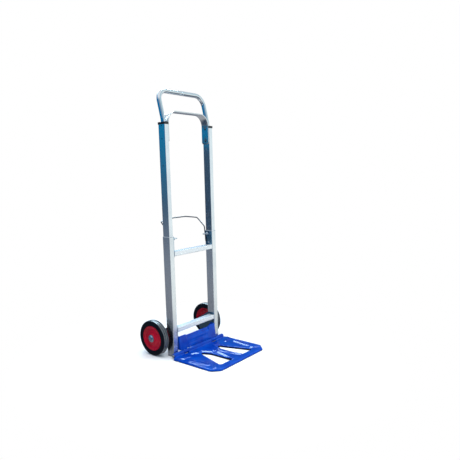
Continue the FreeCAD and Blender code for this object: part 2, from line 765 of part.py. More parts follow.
def tyre_points():
    """The tyre's section, with a crowned tread and two grooves round it."""
    half = "wheel_width / 2"
    outer = "wheel_radius"
    seat = "rim_radius - rim_lip"
    points = [
        (other_way(half) + " + rim_lip_width", seat),
        (other_way(half) + " + rim_lip_width", "rim_radius + 0.4"),
        (other_way(half) + " + 0.5", "rim_radius + bead_rise"),
        (other_way(half), "rim_radius + bulge_rise"),
        (other_way(half) + " + tread_shoulder", f"{outer} - tread_crown"),
    ]
    for place in ("-(groove_place)", "groove_place"):
        points += [
            (f"{place} - groove_width / 2", outer),
            (f"{place} - groove_width / 2", f"{outer} - groove_depth"),
            (f"{place} + groove_width / 2", f"{outer} - groove_depth"),
            (f"{place} + groove_width / 2", outer),
        ]
    points += [
        (half + " - tread_shoulder", f"{outer} - tread_crown"),
        (half, "rim_radius + bulge_rise"),
        (half + " - 0.5", "rim_radius + bead_rise"),
        (half + " - rim_lip_width", "rim_radius + 0.4"),
        (half + " - rim_lip_width", seat),
    ]
    return points


def rim_points():
    """The rim's section: a rolled lip each side, a barrel, a dished web and a hub."""
    half = "wheel_width / 2"
    seat = "rim_radius - rim_lip"
    bore = "hub_bore"
    hub_end = "hub_length / 2"
    dish_foot = "web_outer_x - web_dish"
    return [
        (other_way(hub_end), bore),
        (other_way(hub_end), "hub_radius"),
        ("web_outer_x - web_thick - web_dish", "hub_radius + 1"),
        (f"{dish_foot} - web_thick", f"{seat} - 6"),
        (other_way(half) + " + rim_lip_width + 1", f"{seat} - 3.5"),
        (other_way(half) + " + 1", "rim_radius - rim_lip_thick"),
        (other_way(half) + " + 1", "rim_radius"),
        (other_way(half) + " + rim_lip_width", "rim_radius"),
        (other_way(half) + " + rim_lip_width", seat),
        (half + " - rim_lip_width", seat),
        (half + " - rim_lip_width", "rim_radius"),
        (half + " - 1", "rim_radius"),
        (half + " - 1", "rim_radius - rim_lip_thick"),
        (half + " - rim_lip_width - 1", f"{seat} - 3.5"),
        (dish_foot, f"{seat} - 8"),
        ("web_outer_x", "hub_radius + 3"),
        (hub_end + " - 3", "hub_radius"),
        (hub_end, "hub_radius - 1"),
        (hub_end, bore),
    ]


def wheels():
    """Tyre, rim and bush of each wheel, and the fixed cap outside it."""
    for name, side in SIDES:
        wheel_profile(f"tyre_{name}", side, tyre_points())
        wheel_profile(f"wheel_rim_{name}", side, rim_points())
        end = "hub_length / 2"
        running = "axle_radius + axle_fit"
        wheel_profile(f"hub_bush_{name}", side, [
            (other_way(end), running), (end, running), (end, "hub_bore"),
            (other_way(end), "hub_bore")])
        start = "hub_length / 2 + wheel_side_gap"
        wheel_profile(f"axle_cap_{name}", side, [
            (start, "axle_radius"),
            (start, "cap_radius"),
            (f"{start} + 2", "cap_radius"),
            (f"{start} + cap_height * 0.7", "cap_radius * 0.72"),
            (f"{start} + cap_height", "cap_radius * 0.35"),
            (f"{start} + cap_height", "0"),
            (f"{start} + 3", "0"),
            (f"{start} + 3", "axle_radius"),
        ])


# ---------------------------------------------------------------- mast

def inner_uprights():
    """The sliding tubes, drilled for the arch, the lock pins and the handle rivets."""
    for name, side in SIDES:
        body = hollow_section(
            f"inner_upright_{name}", side, "tube_centre_x", "mast_width", "mast_depth",
            "mast_wall", "mast_corner", "mast_bottom", "mast_length")
        inner_wall = ("mast_inner_x", "mast_inner_x + mast_wall")
        outer_wall = ("mast_outer_x - mast_wall", "mast_outer_x")
        for place in ARCH_RIVETS:
            for wall, span in (("In", inner_wall), ("Out", outer_wall)):
                cross_hole(body, f"ArchHole{wall}_{place[0]}_{name}", side, *span,
                           "tube_centre_y", place[1], "rivet_radius")
        cross_hole(body, f"HandleHole_{name}", side, *outer_wall, "tube_centre_y",
                   HANDLE_RIVET_Z, "rivet_radius")
        for place, height in (("Raised", "lock_z"), ("Lowered", "lock_z + mast_travel")):
            cross_hole(body, f"LockHole{place}_{name}", side, *inner_wall,
                       "tube_centre_y", height, "lock_pin_radius + 0.3")


HANDLE_RIVET_Z = "mast_top - handle_insert + handle_rivet_up"
ARCH_RIVETS = (
    ("Upper", "mast_top - arch_rivet_first"),
    ("Lower", "mast_top - arch_rivet_first - arch_rivet_pitch"),
)


def glide_plugs():
    """Nylon plugs in the inner tubes' bottoms that run inside the outer tubes."""
    for name, side in SIDES:
        centre = sided(side, "tube_centre_x")
        width = "tube_width - 2 * tube_wall - 2 * sliding_fit"
        depth = "tube_depth - 2 * tube_wall - 2 * sliding_fit"
        flange = block(f"GlideFlange_{name}",
                       (f"{centre} - ({width}) / 2", f"tube_centre_y - ({depth}) / 2",
                        "mast_bottom - plug_flange"), (width, depth, "plug_flange"))
        width = "mast_width - 2 * mast_wall"
        depth = "mast_depth - 2 * mast_wall"
        stem = block(f"GlideStem_{name}",
                     (f"{centre} - ({width}) / 2", f"tube_centre_y - ({depth}) / 2",
                      "mast_bottom - 1"), (width, depth, "plug_length"))
        keep(fuse(f"Glide_{name}", [flange, stem]), f"glide_plug_{name}")


def top_caps():
    """Plastic caps on the inner tubes' tops, each bored for a leg of the handle.

    A cap's head overhangs its tube on three sides and is flush where the arch passes it.
    """
    for name, side in SIDES:
        centre = sided(side, "tube_centre_x")
        depth = "mast_depth + 2 * cap_overhang"
        low, _ = side_span(side, "mast_inner_x", "mast_outer_x + cap_overhang")
        head = block(f"CapHead_{name}", (low, f"tube_centre_y - ({depth}) / 2", "mast_top"),
                     ("mast_width + cap_overhang", depth, "cap_rise"))
        width = "mast_width - 2 * mast_wall"
        depth = "mast_depth - 2 * mast_wall"
        stem = block(f"CapStem_{name}",
                     (f"{centre} - ({width}) / 2", f"tube_centre_y - ({depth}) / 2",
                      "mast_top - cap_stem"), (width, depth, "cap_stem + 1"))
        way = primitive("Part::Cylinder", f"CapWay_{name}",
                        {"Radius": "handle_radius + handle_cap_gap", "Height": "cap_rise + 40"})
        way.setExpression(".Placement.Base.x", bound(centre))
        way.setExpression(".Placement.Base.y", bound("tube_centre_y"))
        way.setExpression(".Placement.Base.z", bound("mast_top - 20"))
        solid = fuse(f"CapSolid_{name}", [head, stem])
        keep(cut(f"Cap_{name}", solid, way), f"top_cap_{name}")


def arch_outline():
    """The arch seen from the front, as corners and bend radii for its middle line."""
    side_x = size("mast_inner_x") - size("arch_thick") / 2
    bottom = size("mast_top") - size("arch_drop")
    top = size("mast_top") + size("arch_rise") - size("arch_thick") / 2
    return [Vec(side_x, 0, bottom), Vec(side_x, 0, top), Vec(-side_x, 0, top),
            Vec(-side_x, 0, bottom)]


def carrying_arch():
    """A flat bar bent to an arch between the two inner tubes."""
    thick = size("arch_thick")
    wide = size("arch_width")
    corners = arch_outline()
    path = rounded_path(corners, [size("arch_bend")] * 2)
    start = corners[0]
    half = Vec(thick / 2, 0, 0)
    across = Vec(0, wide / 2, 0)
    ring = Part.makePolygon([start - half - across, start + half - across,
                             start + half + across, start - half + across,
                             start - half - across])
    bar = path.makePipeShell([ring], True, False)
    bar.translate(Vec(0, size("tube_centre_y") + size("arch_offset"), 0))
    drills = []
    for _, height in ARCH_RIVETS:
        reach = 2 * size("mast_inner_x") + 2
        drills.append(Part.makeCylinder(
            size("rivet_radius"), reach,
            Vec(-reach / 2, size("tube_centre_y"), worked_out(height)), Vec(1, 0, 0)))
    bar = bar.cut(drills)
    ends = [edge for edge in bar.Edges if is_leg_corner(edge, corners[0].z)]
    part_feature("carrying_arch", bar.makeFillet(wide * 0.28, ends))


def is_leg_corner(edge, bottom):
    """True for the short edges across the bar's thickness at its two lower ends."""
    if len(edge.Vertexes) != 2:
        return False
    first, last = [vertex.Point for vertex in edge.Vertexes]
    level = abs(first.z - bottom) < 1e-3 and abs(last.z - bottom) < 1e-3
    return level and abs(first.y - last.y) < 1e-3 and abs(first.x - last.x) > 1


def arch_rivets():
    """Rivets through the arch and both walls of each inner tube."""
    rivets = []
    for name, side in SIDES:
        for place, height in ARCH_RIVETS:
            near = "mast_inner_x - arch_thick"
            low, _ = side_span(side, near, "mast_inner_x + mast_wall")
            stem = rod_along_x(f"ArchRivetStem_{place}_{name}", low, "arch_thick + mast_wall",
                               "rivet_radius", "tube_centre_y", height)
            low, _ = side_span(side, f"{near} - rivet_head / 2", near)
            head = rod_along_x(f"ArchRivetHead_{place}_{name}", low, "rivet_head / 2",
                               "rivet_head_radius", "tube_centre_y", height)
            rivets.append(fuse(f"ArchRivet_{place}_{name}", [stem, head]))
            low, _ = side_span(side, "mast_outer_x - mast_wall", "mast_outer_x + 0.1")
            rivets.append(rod_along_x(f"ArchRivetTail_{place}_{name}", low, "mast_wall + 0.1",
                                      "rivet_radius", "tube_centre_y", height))
    group("arch_rivets", rivets)


def handle_path():
    """The handle's middle line: two upright legs, a lean to the back and the top bar."""
    leg_x = size("tube_centre_x")
    leg_y = size("tube_centre_y")
    knee_z = size("mast_top") + size("handle_knee_rise")
    top_z = size("mast_top") + size("handle_rise")
    lean = math.radians(size("handle_lean"))
    top_y = leg_y + (top_z - knee_z) * math.tan(lean)
    bottom = size("mast_top") - size("handle_insert")
    right = [Vec(leg_x, leg_y, bottom), Vec(leg_x, leg_y, knee_z), Vec(leg_x, top_y, top_z)]
    left = [Vec(-spot.x, spot.y, spot.z) for spot in reversed(right)]
    knee = size("handle_knee")
    corner = size("handle_corner")
    return rounded_path(right + left, [knee, corner, corner, knee])


def chrome_handle():
    """The bent handle tube, its legs inside the inner tubes."""
    path = handle_path()
    outside = swept_rod(path, size("handle_radius"))
    inside = swept_rod(path, size("handle_radius") - size("handle_wall"))
    part_feature("chrome_handle", outside.cut(inside))


def handle_rivets():
    """Flush rivets that hold the handle's legs in the inner tubes."""
    rivets = []
    for name, side in SIDES:
        near = "tube_centre_x + handle_radius"
        low, _ = side_span(side, near, "mast_outer_x + 0.1")
        rivets.append(rod_along_x(f"HandleRivet_{name}", low, f"mast_outer_x + 0.1 - ({near})",
                                  "rivet_radius", "tube_centre_y", HANDLE_RIVET_Z))
    group("handle_rivets", rivets)


# ---------------------------------------------------------------- toe plate and hinge

OPENING = [
    ("opening_inner", "-(opening_inner_back)"),
    ("opening_shoulder - 14", "-(opening_back)"),
    ("opening_shoulder", "-(opening_back)"),
    ("opening_outer", "-(opening_front) + 6"),
    ("opening_outer - 8", "-(opening_front)"),
    ("opening_inner", "-(opening_front)"),
]


def mirrored(corners, side):
    """Corners on the right side, or mirrored to the left."""
    return [(sided(side, x), y) for x, y in corners]


def grown(corners, wall):
    """The opening's outline grown by its flange's thickness."""
    push = [(-1, 1), (-1, 1), (0.6, 1), (1, -0.4), (0.6, -1), (-1, -1)]
    return [(f"{x} + {dx} * {wall}", f"{y} + {dy} * {wall}")
            for (x, y), (dx, dy) in zip(corners, push)]


def toe_plate():
    """A pressed plate with a turned-down rim, two big openings, a boss and hinge knuckles."""
    body = new_body("toe_plate")
    back = "hinge_back"
    half = "toe_width / 2"
    outline = new_sketch(body, "ToeOutline", "XY_Plane", "0")
    draw_outline(outline, [
        (other_way(half), "-(toe_front) + toe_corner"),
        (f"{other_way(half)} + toe_corner", "-(toe_front)"),
        (f"{half} - toe_corner", "-(toe_front)"),
        (half, "-(toe_front) + toe_corner"),
        (half, f"{back} - knuckle_radius + 1"),
        ("toe_ear_outer", f"{back} - knuckle_radius + 1"),
        ("toe_ear_outer", back),
        (other_way("toe_ear_outer"), back),
        (other_way("toe_ear_outer"), f"{back} - knuckle_radius + 1"),
        (other_way(half), f"{back} - knuckle_radius + 1"),
    ])
    plate = pad(body, outline, "toe_thick")

    def at_front_corner(first, last):
        """Upright edges along the chamfered front corners."""
        return runs_along("z")(first, last) and first.y < -size("toe_front") / 2
    rounded = round_edges(body, plate, "toe_corner / 2", at_front_corner)

    under = new_sketch(body, "ToeUnderside", "XY_Plane", "0")
    wall = "toe_wall"
    draw_outline(under, [
        (f"{other_way(half)} + {wall}", "-(toe_front) + toe_corner"),
        (f"{other_way(half)} + toe_corner", f"-(toe_front) + {wall}"),
        (f"{half} - toe_corner", f"-(toe_front) + {wall}"),
        (f"{half} - {wall}", "-(toe_front) + toe_corner"),
        (f"{half} - {wall}", f"{back} - knuckle_radius"),
        (f"{other_way(half)} + {wall}", f"{back} - knuckle_radius"),
    ])
    pocket(body, under, "toe_thick - toe_skin", reverse=True)

    flanges = new_sketch(body, "OpeningFlanges", "XY_Plane", "0")
    for side in (-1, 1):
        draw_outline(flanges, mirrored(grown(OPENING, wall), side))
    pad(body, flanges, "toe_thick")
    boss = new_sketch(body, "ToeBoss", "XY_Plane", "0")
    draw_circle(boss, "0", "-(boss_back)", "boss_radius")
    pad(body, boss, "toe_thick + boss_rise")

    knuckles = new_sketch(body, "ToeKnuckles", "YZ_Plane", "0")
    draw_circle(knuckles, back, "hinge_z", "knuckle_radius")
    pad(body, knuckles, "2 * toe_ear_outer", centred=True)

    gaps = new_sketch(body, "KnuckleGaps", "XY_Plane", "-5")
    for side in (-1, 1):
        low, high = side_span(side, "toe_knuckle_half", "lug_outer + knuckle_side_gap")
        draw_box(gaps, low, high, f"{back} - knuckle_radius - 2", f"{back} + knuckle_radius + 2")
    pocket(body, gaps, "hinge_z + knuckle_radius + 10", reverse=True)

    holes = new_sketch(body, "ToeOpenings", "XY_Plane", "-1")
    for side in (-1, 1):
        draw_outline(holes, mirrored(OPENING, side))
    draw_circle(holes, "0", "-(boss_back)", "boss_hole_radius")
    pocket(body, holes, "toe_thick + boss_rise + 4", reverse=True)

    rod_hole = new_sketch(body, "ToeRodHole", "YZ_Plane", "0")
    draw_circle(rod_hole, back, "hinge_z", "hinge_rod_radius + knuckle_fit")
    pocket(body, rod_hole, "toe_width + 4", centred=True)


def hinge_bracket():
    """The pressed panel between the uprights, with back flanges and lugs for the rod."""
    body = new_body("hinge_bracket")
    half = "bracket_inner_x"
    low = "panel_bottom"
    top = "panel_top"
    lower_top = "panel_top - panel_notch"
    front_low = "-(panel_lean_low)"
    front_top = "-(panel_lean_top)"
    section = new_sketch(body, "PanelSection", "YZ_Plane", "0")
    draw_outline(section, [
        (front_low, low), (f"panel_thick + {front_low}", low),
        (f"panel_thick + {front_top}", top), (front_top, top)])
    pad(body, section, f"2 * ({half})", centred=True)
    notch = "panel_notch_half"
    notched = new_sketch(body, "PanelNotch", "XZ_Plane", "panel_lean_low + 1")
    draw_outline(notched, [
        (f"{other_way(notch)} + panel_notch", lower_top), (f"{notch} - panel_notch", lower_top),
        (notch, top), (notch, f"{top} + 1"), (other_way(notch), f"{top} + 1"),
        (other_way(notch), top)])
    pocket(body, notched, "panel_lean_low + panel_thick + 2")
    for name, side in SIDES:
        start, _ = side_span(side, f"{half} - panel_thick", half)
        flange = new_sketch(body, f"PanelFlange_{name}", "YZ_Plane", start)
        draw_outline(flange, [
            (front_low, low), ("panel_flange", low),
            ("panel_flange", f"{top} - flange_chamfer_drop"),
            ("panel_flange - flange_chamfer_back", top), (front_top, top)])
        pad(body, flange, "panel_thick")
        hole = new_sketch(body, f"PanelBoltHole_{name}", "YZ_Plane", start)
        draw_circle(hole, "tube_centre_y", "bolt_low_z", "bolt_radius")
        pocket(body, hole, "panel_thick", reverse=True)
        lug_low, _ = side_span(side, "toe_knuckle_half + knuckle_side_gap", "lug_outer")
        lug_length = "lug_width - knuckle_side_gap"
        lug = new_sketch(body, f"PanelLug_{name}", "YZ_Plane", lug_low)
        draw_box(lug, front_low, f"panel_thick + {front_low}", "hinge_z",
                 f"{low} + panel_lug_rise")
        pad(body, lug, lug_length)
        barrel = new_sketch(body, f"PanelBarrel_{name}", "YZ_Plane", lug_low)
        draw_circle(barrel, "hinge_back", "hinge_z", "knuckle_radius")
        pad(body, barrel, lug_length)
        rod_hole = new_sketch(body, f"PanelRodHole_{name}", "YZ_Plane", lug_low)
        draw_circle(rod_hole, "hinge_back", "hinge_z", "hinge_rod_radius")
        pocket(body, rod_hole, lug_length, reverse=True)


def hinge_rod():
    """The hinge rod, right through every knuckle."""
    keep_rod("hinge_rod", "toe_ear_outer + knuckle_side_gap + 1", "hinge_rod_radius",
             "hinge_back", "hinge_z")


def hinge_rod_caps():
    """Push-on caps that keep the hinge rod in."""
    caps = []
    for name, side in SIDES:
        near = "toe_ear_outer + knuckle_side_gap"
        low, _ = side_span(side, near, f"{near} + rod_cap_thick")
        shell = rod_along_x(f"RodCapShell_{name}", low, "rod_cap_thick",
                            "hinge_rod_radius + rod_cap_wall", "hinge_back", "hinge_z")
        low, _ = side_span(side, f"{near} - 1", f"{near} + 1")
        bore = rod_along_x(f"RodCapBore_{name}", low, "2", "hinge_rod_radius",
                           "hinge_back", "hinge_z")
        caps.append(cut(f"RodCap_{name}", shell, bore))
    group("hinge_rod_caps", caps)


# ---------------------------------------------------------------- build and write

lower_uprights()
foot_caps()
tube_collars()
for bar_name, bar_bottom, bar_half in CROSSBARS:
    crossbar(f"{bar_name}_crossbar", bar_bottom, bar_half)
crossbar_blocks()
crossbar_rivets()
latch_plates()
latch_rivets()
lock_barrels()
lock_pins()
lock_springs()
bail()
wheel_brackets()
bracket_bolts()
axle()
axle_spacers()
wheels()
inner_uprights()
glide_plugs()
top_caps()
carrying_arch()
arch_rivets()
chrome_handle()
handle_rivets()
toe_plate()
hinge_bracket()
hinge_rod()
hinge_rod_caps()
doc.recompute()

for item in doc.Objects:
    if "Invalid" in item.State or "Error" in item.State:
        raise RuntimeError(f"{item.Name} failed: {item.State}")
for piece in PIECES:
    if piece.Shape.isNull() or not piece.Shape.isValid() or not piece.Shape.Solids:
        raise RuntimeError(f"{piece.Label} has no valid solid")
    piece.Shape.exportStep(f"parts/{piece.Label}.step")
print(len(PIECES), "pieces written")
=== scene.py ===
"""Looks of the folding hand truck: its finer pieces, finishes, light and camera.

Metres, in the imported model's own frame: +X to the right wheel, +Z up, toe plate towards -Y.
"""
import bmesh
import bpy
import json
import math
import numpy as np
from mathutils import Matrix, Vector, geometry


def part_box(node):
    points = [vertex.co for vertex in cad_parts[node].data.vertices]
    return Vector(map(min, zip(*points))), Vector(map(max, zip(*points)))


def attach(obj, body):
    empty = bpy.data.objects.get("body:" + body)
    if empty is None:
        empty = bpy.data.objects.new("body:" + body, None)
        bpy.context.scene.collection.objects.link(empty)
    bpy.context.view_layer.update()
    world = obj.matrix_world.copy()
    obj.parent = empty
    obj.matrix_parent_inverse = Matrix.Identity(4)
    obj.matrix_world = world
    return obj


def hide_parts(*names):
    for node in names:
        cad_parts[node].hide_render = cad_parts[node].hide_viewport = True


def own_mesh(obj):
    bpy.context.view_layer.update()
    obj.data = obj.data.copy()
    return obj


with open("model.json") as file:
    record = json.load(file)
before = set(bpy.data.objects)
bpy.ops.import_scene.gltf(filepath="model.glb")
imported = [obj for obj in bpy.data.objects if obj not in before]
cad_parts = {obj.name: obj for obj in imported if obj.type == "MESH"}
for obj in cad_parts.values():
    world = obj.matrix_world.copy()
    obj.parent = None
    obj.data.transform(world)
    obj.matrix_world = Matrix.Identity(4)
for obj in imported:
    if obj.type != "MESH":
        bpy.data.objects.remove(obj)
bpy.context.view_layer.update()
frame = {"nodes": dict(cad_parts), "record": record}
MM = 0.001
SIDES = (("left", -1), ("right", 1))


def linked(name, data):
    """A new object that stands in the scene."""
    item = bpy.data.objects.new(name, data)
    bpy.context.collection.objects.link(item)
    return item


# ---------------------------------------------------------------- camera, light, floor

def set_camera():
    """The camera, in front of the left wheel and a little above the toe plate's hinge."""
    turn, tip, roll = (math.radians(angle) for angle in (-48.54, 8.86, -1.89))
    ahead = Vector((-math.sin(turn) * math.cos(tip), math.cos(turn) * math.cos(tip),
                    -math.sin(tip)))
    level = Vector((math.cos(turn), math.sin(turn), 0))
    upward = level.cross(ahead)
    right = level * math.cos(roll) + upward * math.sin(roll)
    upright = upward * math.cos(roll) - level * math.sin(roll)
    data = bpy.data.cameras.new("camera")
    data.sensor_width = 36
    data.lens = 36.95
    data.shift_x = 0.0666
    data.shift_y = 0.052
    data.clip_start = 0.05
    data.clip_end = 100
    camera = linked("camera", data)
    axes = Matrix((right, upright, -ahead)).transposed().to_4x4()
    camera.matrix_world = Matrix.Translation((-1.4632, -1.2805, 0.7198)) @ axes
    bpy.context.scene.camera = camera


def area_light(name, place, aim, width, height, power, highlights=False):
    """A soft rectangular light facing a point: it gives diffuse light, or only highlights."""
    data = bpy.data.lights.new(name, "AREA")
    data.shape = "RECTANGLE"
    data.size = width
    data.size_y = height
    data.energy = power
    data.color = (0.6, 0.85, 1.0) if highlights else (1, 1, 1)
    light = linked(name, data)
    light.location = place
    light.rotation_euler = (Vector(aim) - Vector(place)).to_track_quat("-Z", "Y").to_euler()
    light.visible_glossy = highlights
    light.visible_diffuse = not highlights


def studio_world():
    """The studio's walls as light: white in front, a blue drape to the back left, dark below."""
    world = bpy.data.worlds.new("studio")
    bpy.context.scene.world = world
    world.use_nodes = True
    nodes, links = world.node_tree.nodes, world.node_tree.links
    coords = nodes.new("ShaderNodeTexCoord").outputs["Generated"]
    split = nodes.new("ShaderNodeSeparateXYZ")
    links.new(coords, split.inputs[0])

    def ramp(*stops):
        """Colours by how far up a direction looks, from -1 to 1."""
        height = nodes.new("ShaderNodeMapRange")
        height.inputs["From Min"].default_value = -1
        links.new(split.outputs["Z"], height.inputs["Value"])
        node = nodes.new("ShaderNodeValToRGB")
        elements = node.color_ramp.elements
        while len(elements) < len(stops):
            elements.new(0.5)
        for element, (level, colour) in zip(elements, stops):
            element.position = (level + 1) / 2
            element.color = (*colour, 1)
        links.new(height.outputs["Result"], node.inputs["Fac"])
        return node.outputs["Color"]

    def towards(x, y, start, full):
        """How nearly a direction points along a heading, from 0 to 1."""
        dot = nodes.new("ShaderNodeVectorMath")
        dot.operation = "DOT_PRODUCT"
        dot.inputs[1].default_value = (x, y, 0)
        links.new(coords, dot.inputs[0])
        share = nodes.new("ShaderNodeMapRange")
        share.interpolation_type = "SMOOTHSTEP"
        share.inputs["From Min"].default_value = start
        share.inputs["From Max"].default_value = full
        links.new(dot.outputs["Value"], share.inputs["Value"])
        return share.outputs["Result"]

    def blend(share, first, second):
        """One colour laid over another by a share."""
        node = nodes.new("ShaderNodeMix")
        node.data_type = "RGBA"
        links.new(share, node.inputs[0])
        links.new(first, node.inputs[6])
        links.new(second, node.inputs[7])
        return node.outputs[2]

    sides = ramp((-0.6, (0.40, 0.42, 0.45)), (-0.2, (0.28, 0.31, 0.36)),
                 (-0.04, (0.08, 0.12, 0.18)), (0.12, (0.02, 0.15, 0.36)),
                 (0.3, (0.03, 0.22, 0.48)), (0.5, (0.30, 0.38, 0.48)), (0.72, (0.9, 0.95, 1.0)))
    drape = ramp((-0.6, (0.20, 0.22, 0.25)), (-0.34, (0.13, 0.14, 0.17)),
                 (-0.24, (0.24, 0.26, 0.30)), (-0.14, (0.20, 0.23, 0.29)),
                 (-0.06, (0.04, 0.08, 0.13)), (0.08, (0.0, 0.19, 0.38)),
                 (0.3, (0.0, 0.15, 0.38)), (0.75, (0.6, 0.8, 1.0)))
    front = ramp((-0.7, (0.15, 0.21, 0.31)), (-0.52, (0.05, 0.06, 0.09)),
                 (-0.36, (0.03, 0.04, 0.05)), (-0.3, (0.86, 0.92, 0.93)),
                 (0.2, (0.80, 0.92, 0.95)), (0.55, (0.46, 0.66, 0.74)),
                 (0.8, (0.9, 0.95, 1.0)))
    right, back = 0.749, 0.662  # the heading of the camera's view
    walls = blend(towards(-right, back, 0.45, 0.75), sides, drape)
    walls = blend(towards(right, -back, 0.30, 0.62), walls, front)
    room = nodes["Background"]
    links.new(walls, room.inputs["Color"])
    backdrop = nodes.new("ShaderNodeBackground")
    backdrop.inputs["Color"].default_value = (1, 1, 1, 1)
    path = nodes.new("ShaderNodeLightPath")
    seen = nodes.new("ShaderNodeMixShader")
    links.new(path.outputs["Is Camera Ray"], seen.inputs["Fac"])
    links.new(room.outputs[0], seen.inputs[1])
    links.new(backdrop.outputs[0], seen.inputs[2])
    links.new(seen.outputs[0], nodes["World Output"].inputs["Surface"])


def set_lights():
    """A pale studio: soft white panels around the truck, and two behind it for highlights."""
    scene = bpy.context.scene
    scene.view_settings.view_transform = "Standard"
    scene.view_settings.look = "None"
    middle, toe = (0, 0, 0.4), (0, -0.1, 0.1)
    area_light("overhead_panel", (-0.2, -0.3, 2.8), (0, 0, 0.3), 2.2, 2.2, 44)
    area_light("front_panel", (1.7, -2.3, 1.5), middle, 1.6, 2.0, 24)
    area_light("left_panel", (-2.4, -1.3, 1.9), middle, 1.2, 1.2, 20)
    area_light("back_panel", (1.7, 1.44, 3.9), toe, 1.7, 1.7, 230, True)
    area_light("far_back_panel", (1.85, 2.9, 2.8), toe, 1.4, 1.4, 100, True)
    studio_world()


def floor():
    """A plain pale round floor that fades out into the white around it."""
    radius, fade_from, fade_to = 1.5, 0.42, 0.8
    bm = bmesh.new()
    bmesh.ops.create_circle(bm, cap_ends=True, segments=128, radius=radius)
    mesh = bpy.data.meshes.new("floor")
    bm.to_mesh(mesh)
    bm.free()
    item = linked("floor", mesh)
    finish = Finish("pale_floor", (0.93, 0.93, 0.93), 0.7)
    cloud = finish.noise(0.8, detail=2)
    finish.vary_colour(cloud, (0.92, 0.92, 0.925), (0.95, 0.95, 0.95))
    reach = finish.nodes.new("ShaderNodeVectorMath")
    reach.operation = "LENGTH"
    finish.links.new(finish.coords, reach.inputs[0])
    finish.links.new(finish.span(reach.outputs["Value"], 1, 0, fade_from, fade_to),
                     finish.shader.inputs["Alpha"])
    mesh.materials.append(finish.material)
    item.visible_glossy = False


def dark_card():
    """A dark card behind the mast, seen only in the right inner tube's polished side."""
    left, right, low, high, depth = -0.36, -0.06, 0.42, 0.895, 0.35
    mesh = bpy.data.meshes.new("dark_card")
    mesh.from_pydata([(left, depth, low), (right, depth, low), (right, depth, high),
                      (left, depth, high)], [], [(0, 1, 2, 3)])
    card = linked("dark_card", mesh)
    card.visible_camera = card.visible_shadow = card.visible_diffuse = False
    cloth = Finish("card_cloth", (0.02, 0.045, 0.08), 0.9)
    cloth.vary_colour(cloth.noise(6), (0.02, 0.045, 0.08), (0.03, 0.06, 0.10))
    mesh.materials.append(cloth.material)


# ---------------------------------------------------------------- finishes

class Finish:
    """A procedural finish on object coordinates, built up from noises."""

    def __init__(self, name, colour, roughness, metallic=0.0):
        self.material = bpy.data.materials.new(name)
        self.material.use_nodes = True
        self.material.diffuse_color = (*colour, 1)
        self.nodes = self.material.node_tree.nodes
        self.links = self.material.node_tree.links
        self.shader = self.nodes["Principled BSDF"]
        self.set("Base Color", (*colour, 1))
        self.set("Roughness", roughness)
        self.set("Metallic", metallic)
        self.coords = self.nodes.new("ShaderNodeTexCoord").outputs["Object"]
        self.normal = None

    def set(self, socket, value):
        """A number or colour that is the same all over the surface."""
        self.shader.inputs[socket].default_value = value

    def noise(self, scale, stretch=(1, 1, 1), detail=3.0, roughness=0.55, warp=0.0):
        """A noise, in cells per metre, stretched along the object's axes."""
        mapping = self.nodes.new("ShaderNodeMapping")
        mapping.inputs["Scale"].default_value = stretch
        self.links.new(self.coords, mapping.inputs["Vector"])
        texture = self.nodes.new("ShaderNodeTexNoise")
        texture.inputs["Scale"].default_value = scale
        texture.inputs["Detail"].default_value = detail
        texture.inputs["Roughness"].default_value = roughness
        texture.inputs["Distortion"].default_value = warp
        self.links.new(mapping.outputs["Vector"], texture.inputs["Vector"])
        return texture.outputs["Fac"]

    def span(self, value, low, high, start=0.3, end=0.7):
        """A value brought from start..end to low..high."""
        node = self.nodes.new("ShaderNodeMapRange")
        node.inputs["From Min"].default_value = start
        node.inputs["From Max"].default_value = end
        node.inputs["To Min"].default_value = low
        node.inputs["To Max"].default_value = high
        self.links.new(value, node.inputs["Value"])
        return node.outputs["Result"]

    def mix_colour(self, amount, first, second):
        """A colour between two, each a colour or another node's output."""
        node = self.nodes.new("ShaderNodeMix")
        node.data_type = "RGBA"
        self.links.new(amount, node.inputs[0])
        for socket, colour in ((node.inputs[6], first), (node.inputs[7], second)):
            if isinstance(colour, tuple):
                socket.default_value = (*colour, 1)
            else:
                self.links.new(colour, socket)
        return node.outputs[2]

    def vary_colour(self, amount, first, second, start=0.3, end=0.7):
        """Let a value carry the base colour between two."""
        share = self.span(amount, 0, 1, start, end)
        colour = self.mix_colour(share, first, second)
        self.links.new(colour, self.shader.inputs["Base Color"])
        return colour

    def vary_roughness(self, amount, low, high, start=0.3, end=0.7):
        """Let a value carry the roughness between two."""
        self.links.new(self.span(amount, low, high, start, end), self.shader.inputs["Roughness"])

    def bump(self, value, strength, distance):
        """Raise the surface by a value; each call adds to the last."""
        node = self.nodes.new("ShaderNodeBump")
        node.inputs["Strength"].default_value = strength
        node.inputs["Distance"].default_value = distance
        self.links.new(value, node.inputs["Height"])
        if self.normal is not None:
            self.links.new(self.normal, node.inputs["Normal"])
        self.normal = node.outputs["Normal"]
        self.links.new(self.normal, self.shader.inputs["Normal"])


def drawn_metal(name, light, dark, roughness, lengthwise, metallic=1.0):
    """Satin metal with fine die lines along one axis and faint handling marks."""
    finish = Finish(name, light, roughness, metallic)
    stretch = [1.0, 1.0, 1.0]
    stretch[lengthwise] = 0.012
    lines = finish.noise(900, stretch, detail=4, roughness=0.6)
    haze = finish.noise(14, detail=3)
    marks = finish.noise(55, detail=5, roughness=0.7, warp=0.4)
    tone = finish.mix_colour(finish.span(haze, 0, 1), light, dark)
    spotted = finish.mix_colour(finish.span(marks, 0, 0.35, 0.55, 0.75), tone,
                                tuple(0.8 * part for part in dark))
    finish.links.new(spotted, finish.shader.inputs["Base Color"])
    finish.vary_roughness(lines, roughness - 0.07, roughness + 0.09)
    finish.bump(lines, 0.16, 0.0002)
    finish.bump(marks, 0.05, 0.0004)
    return finish.material


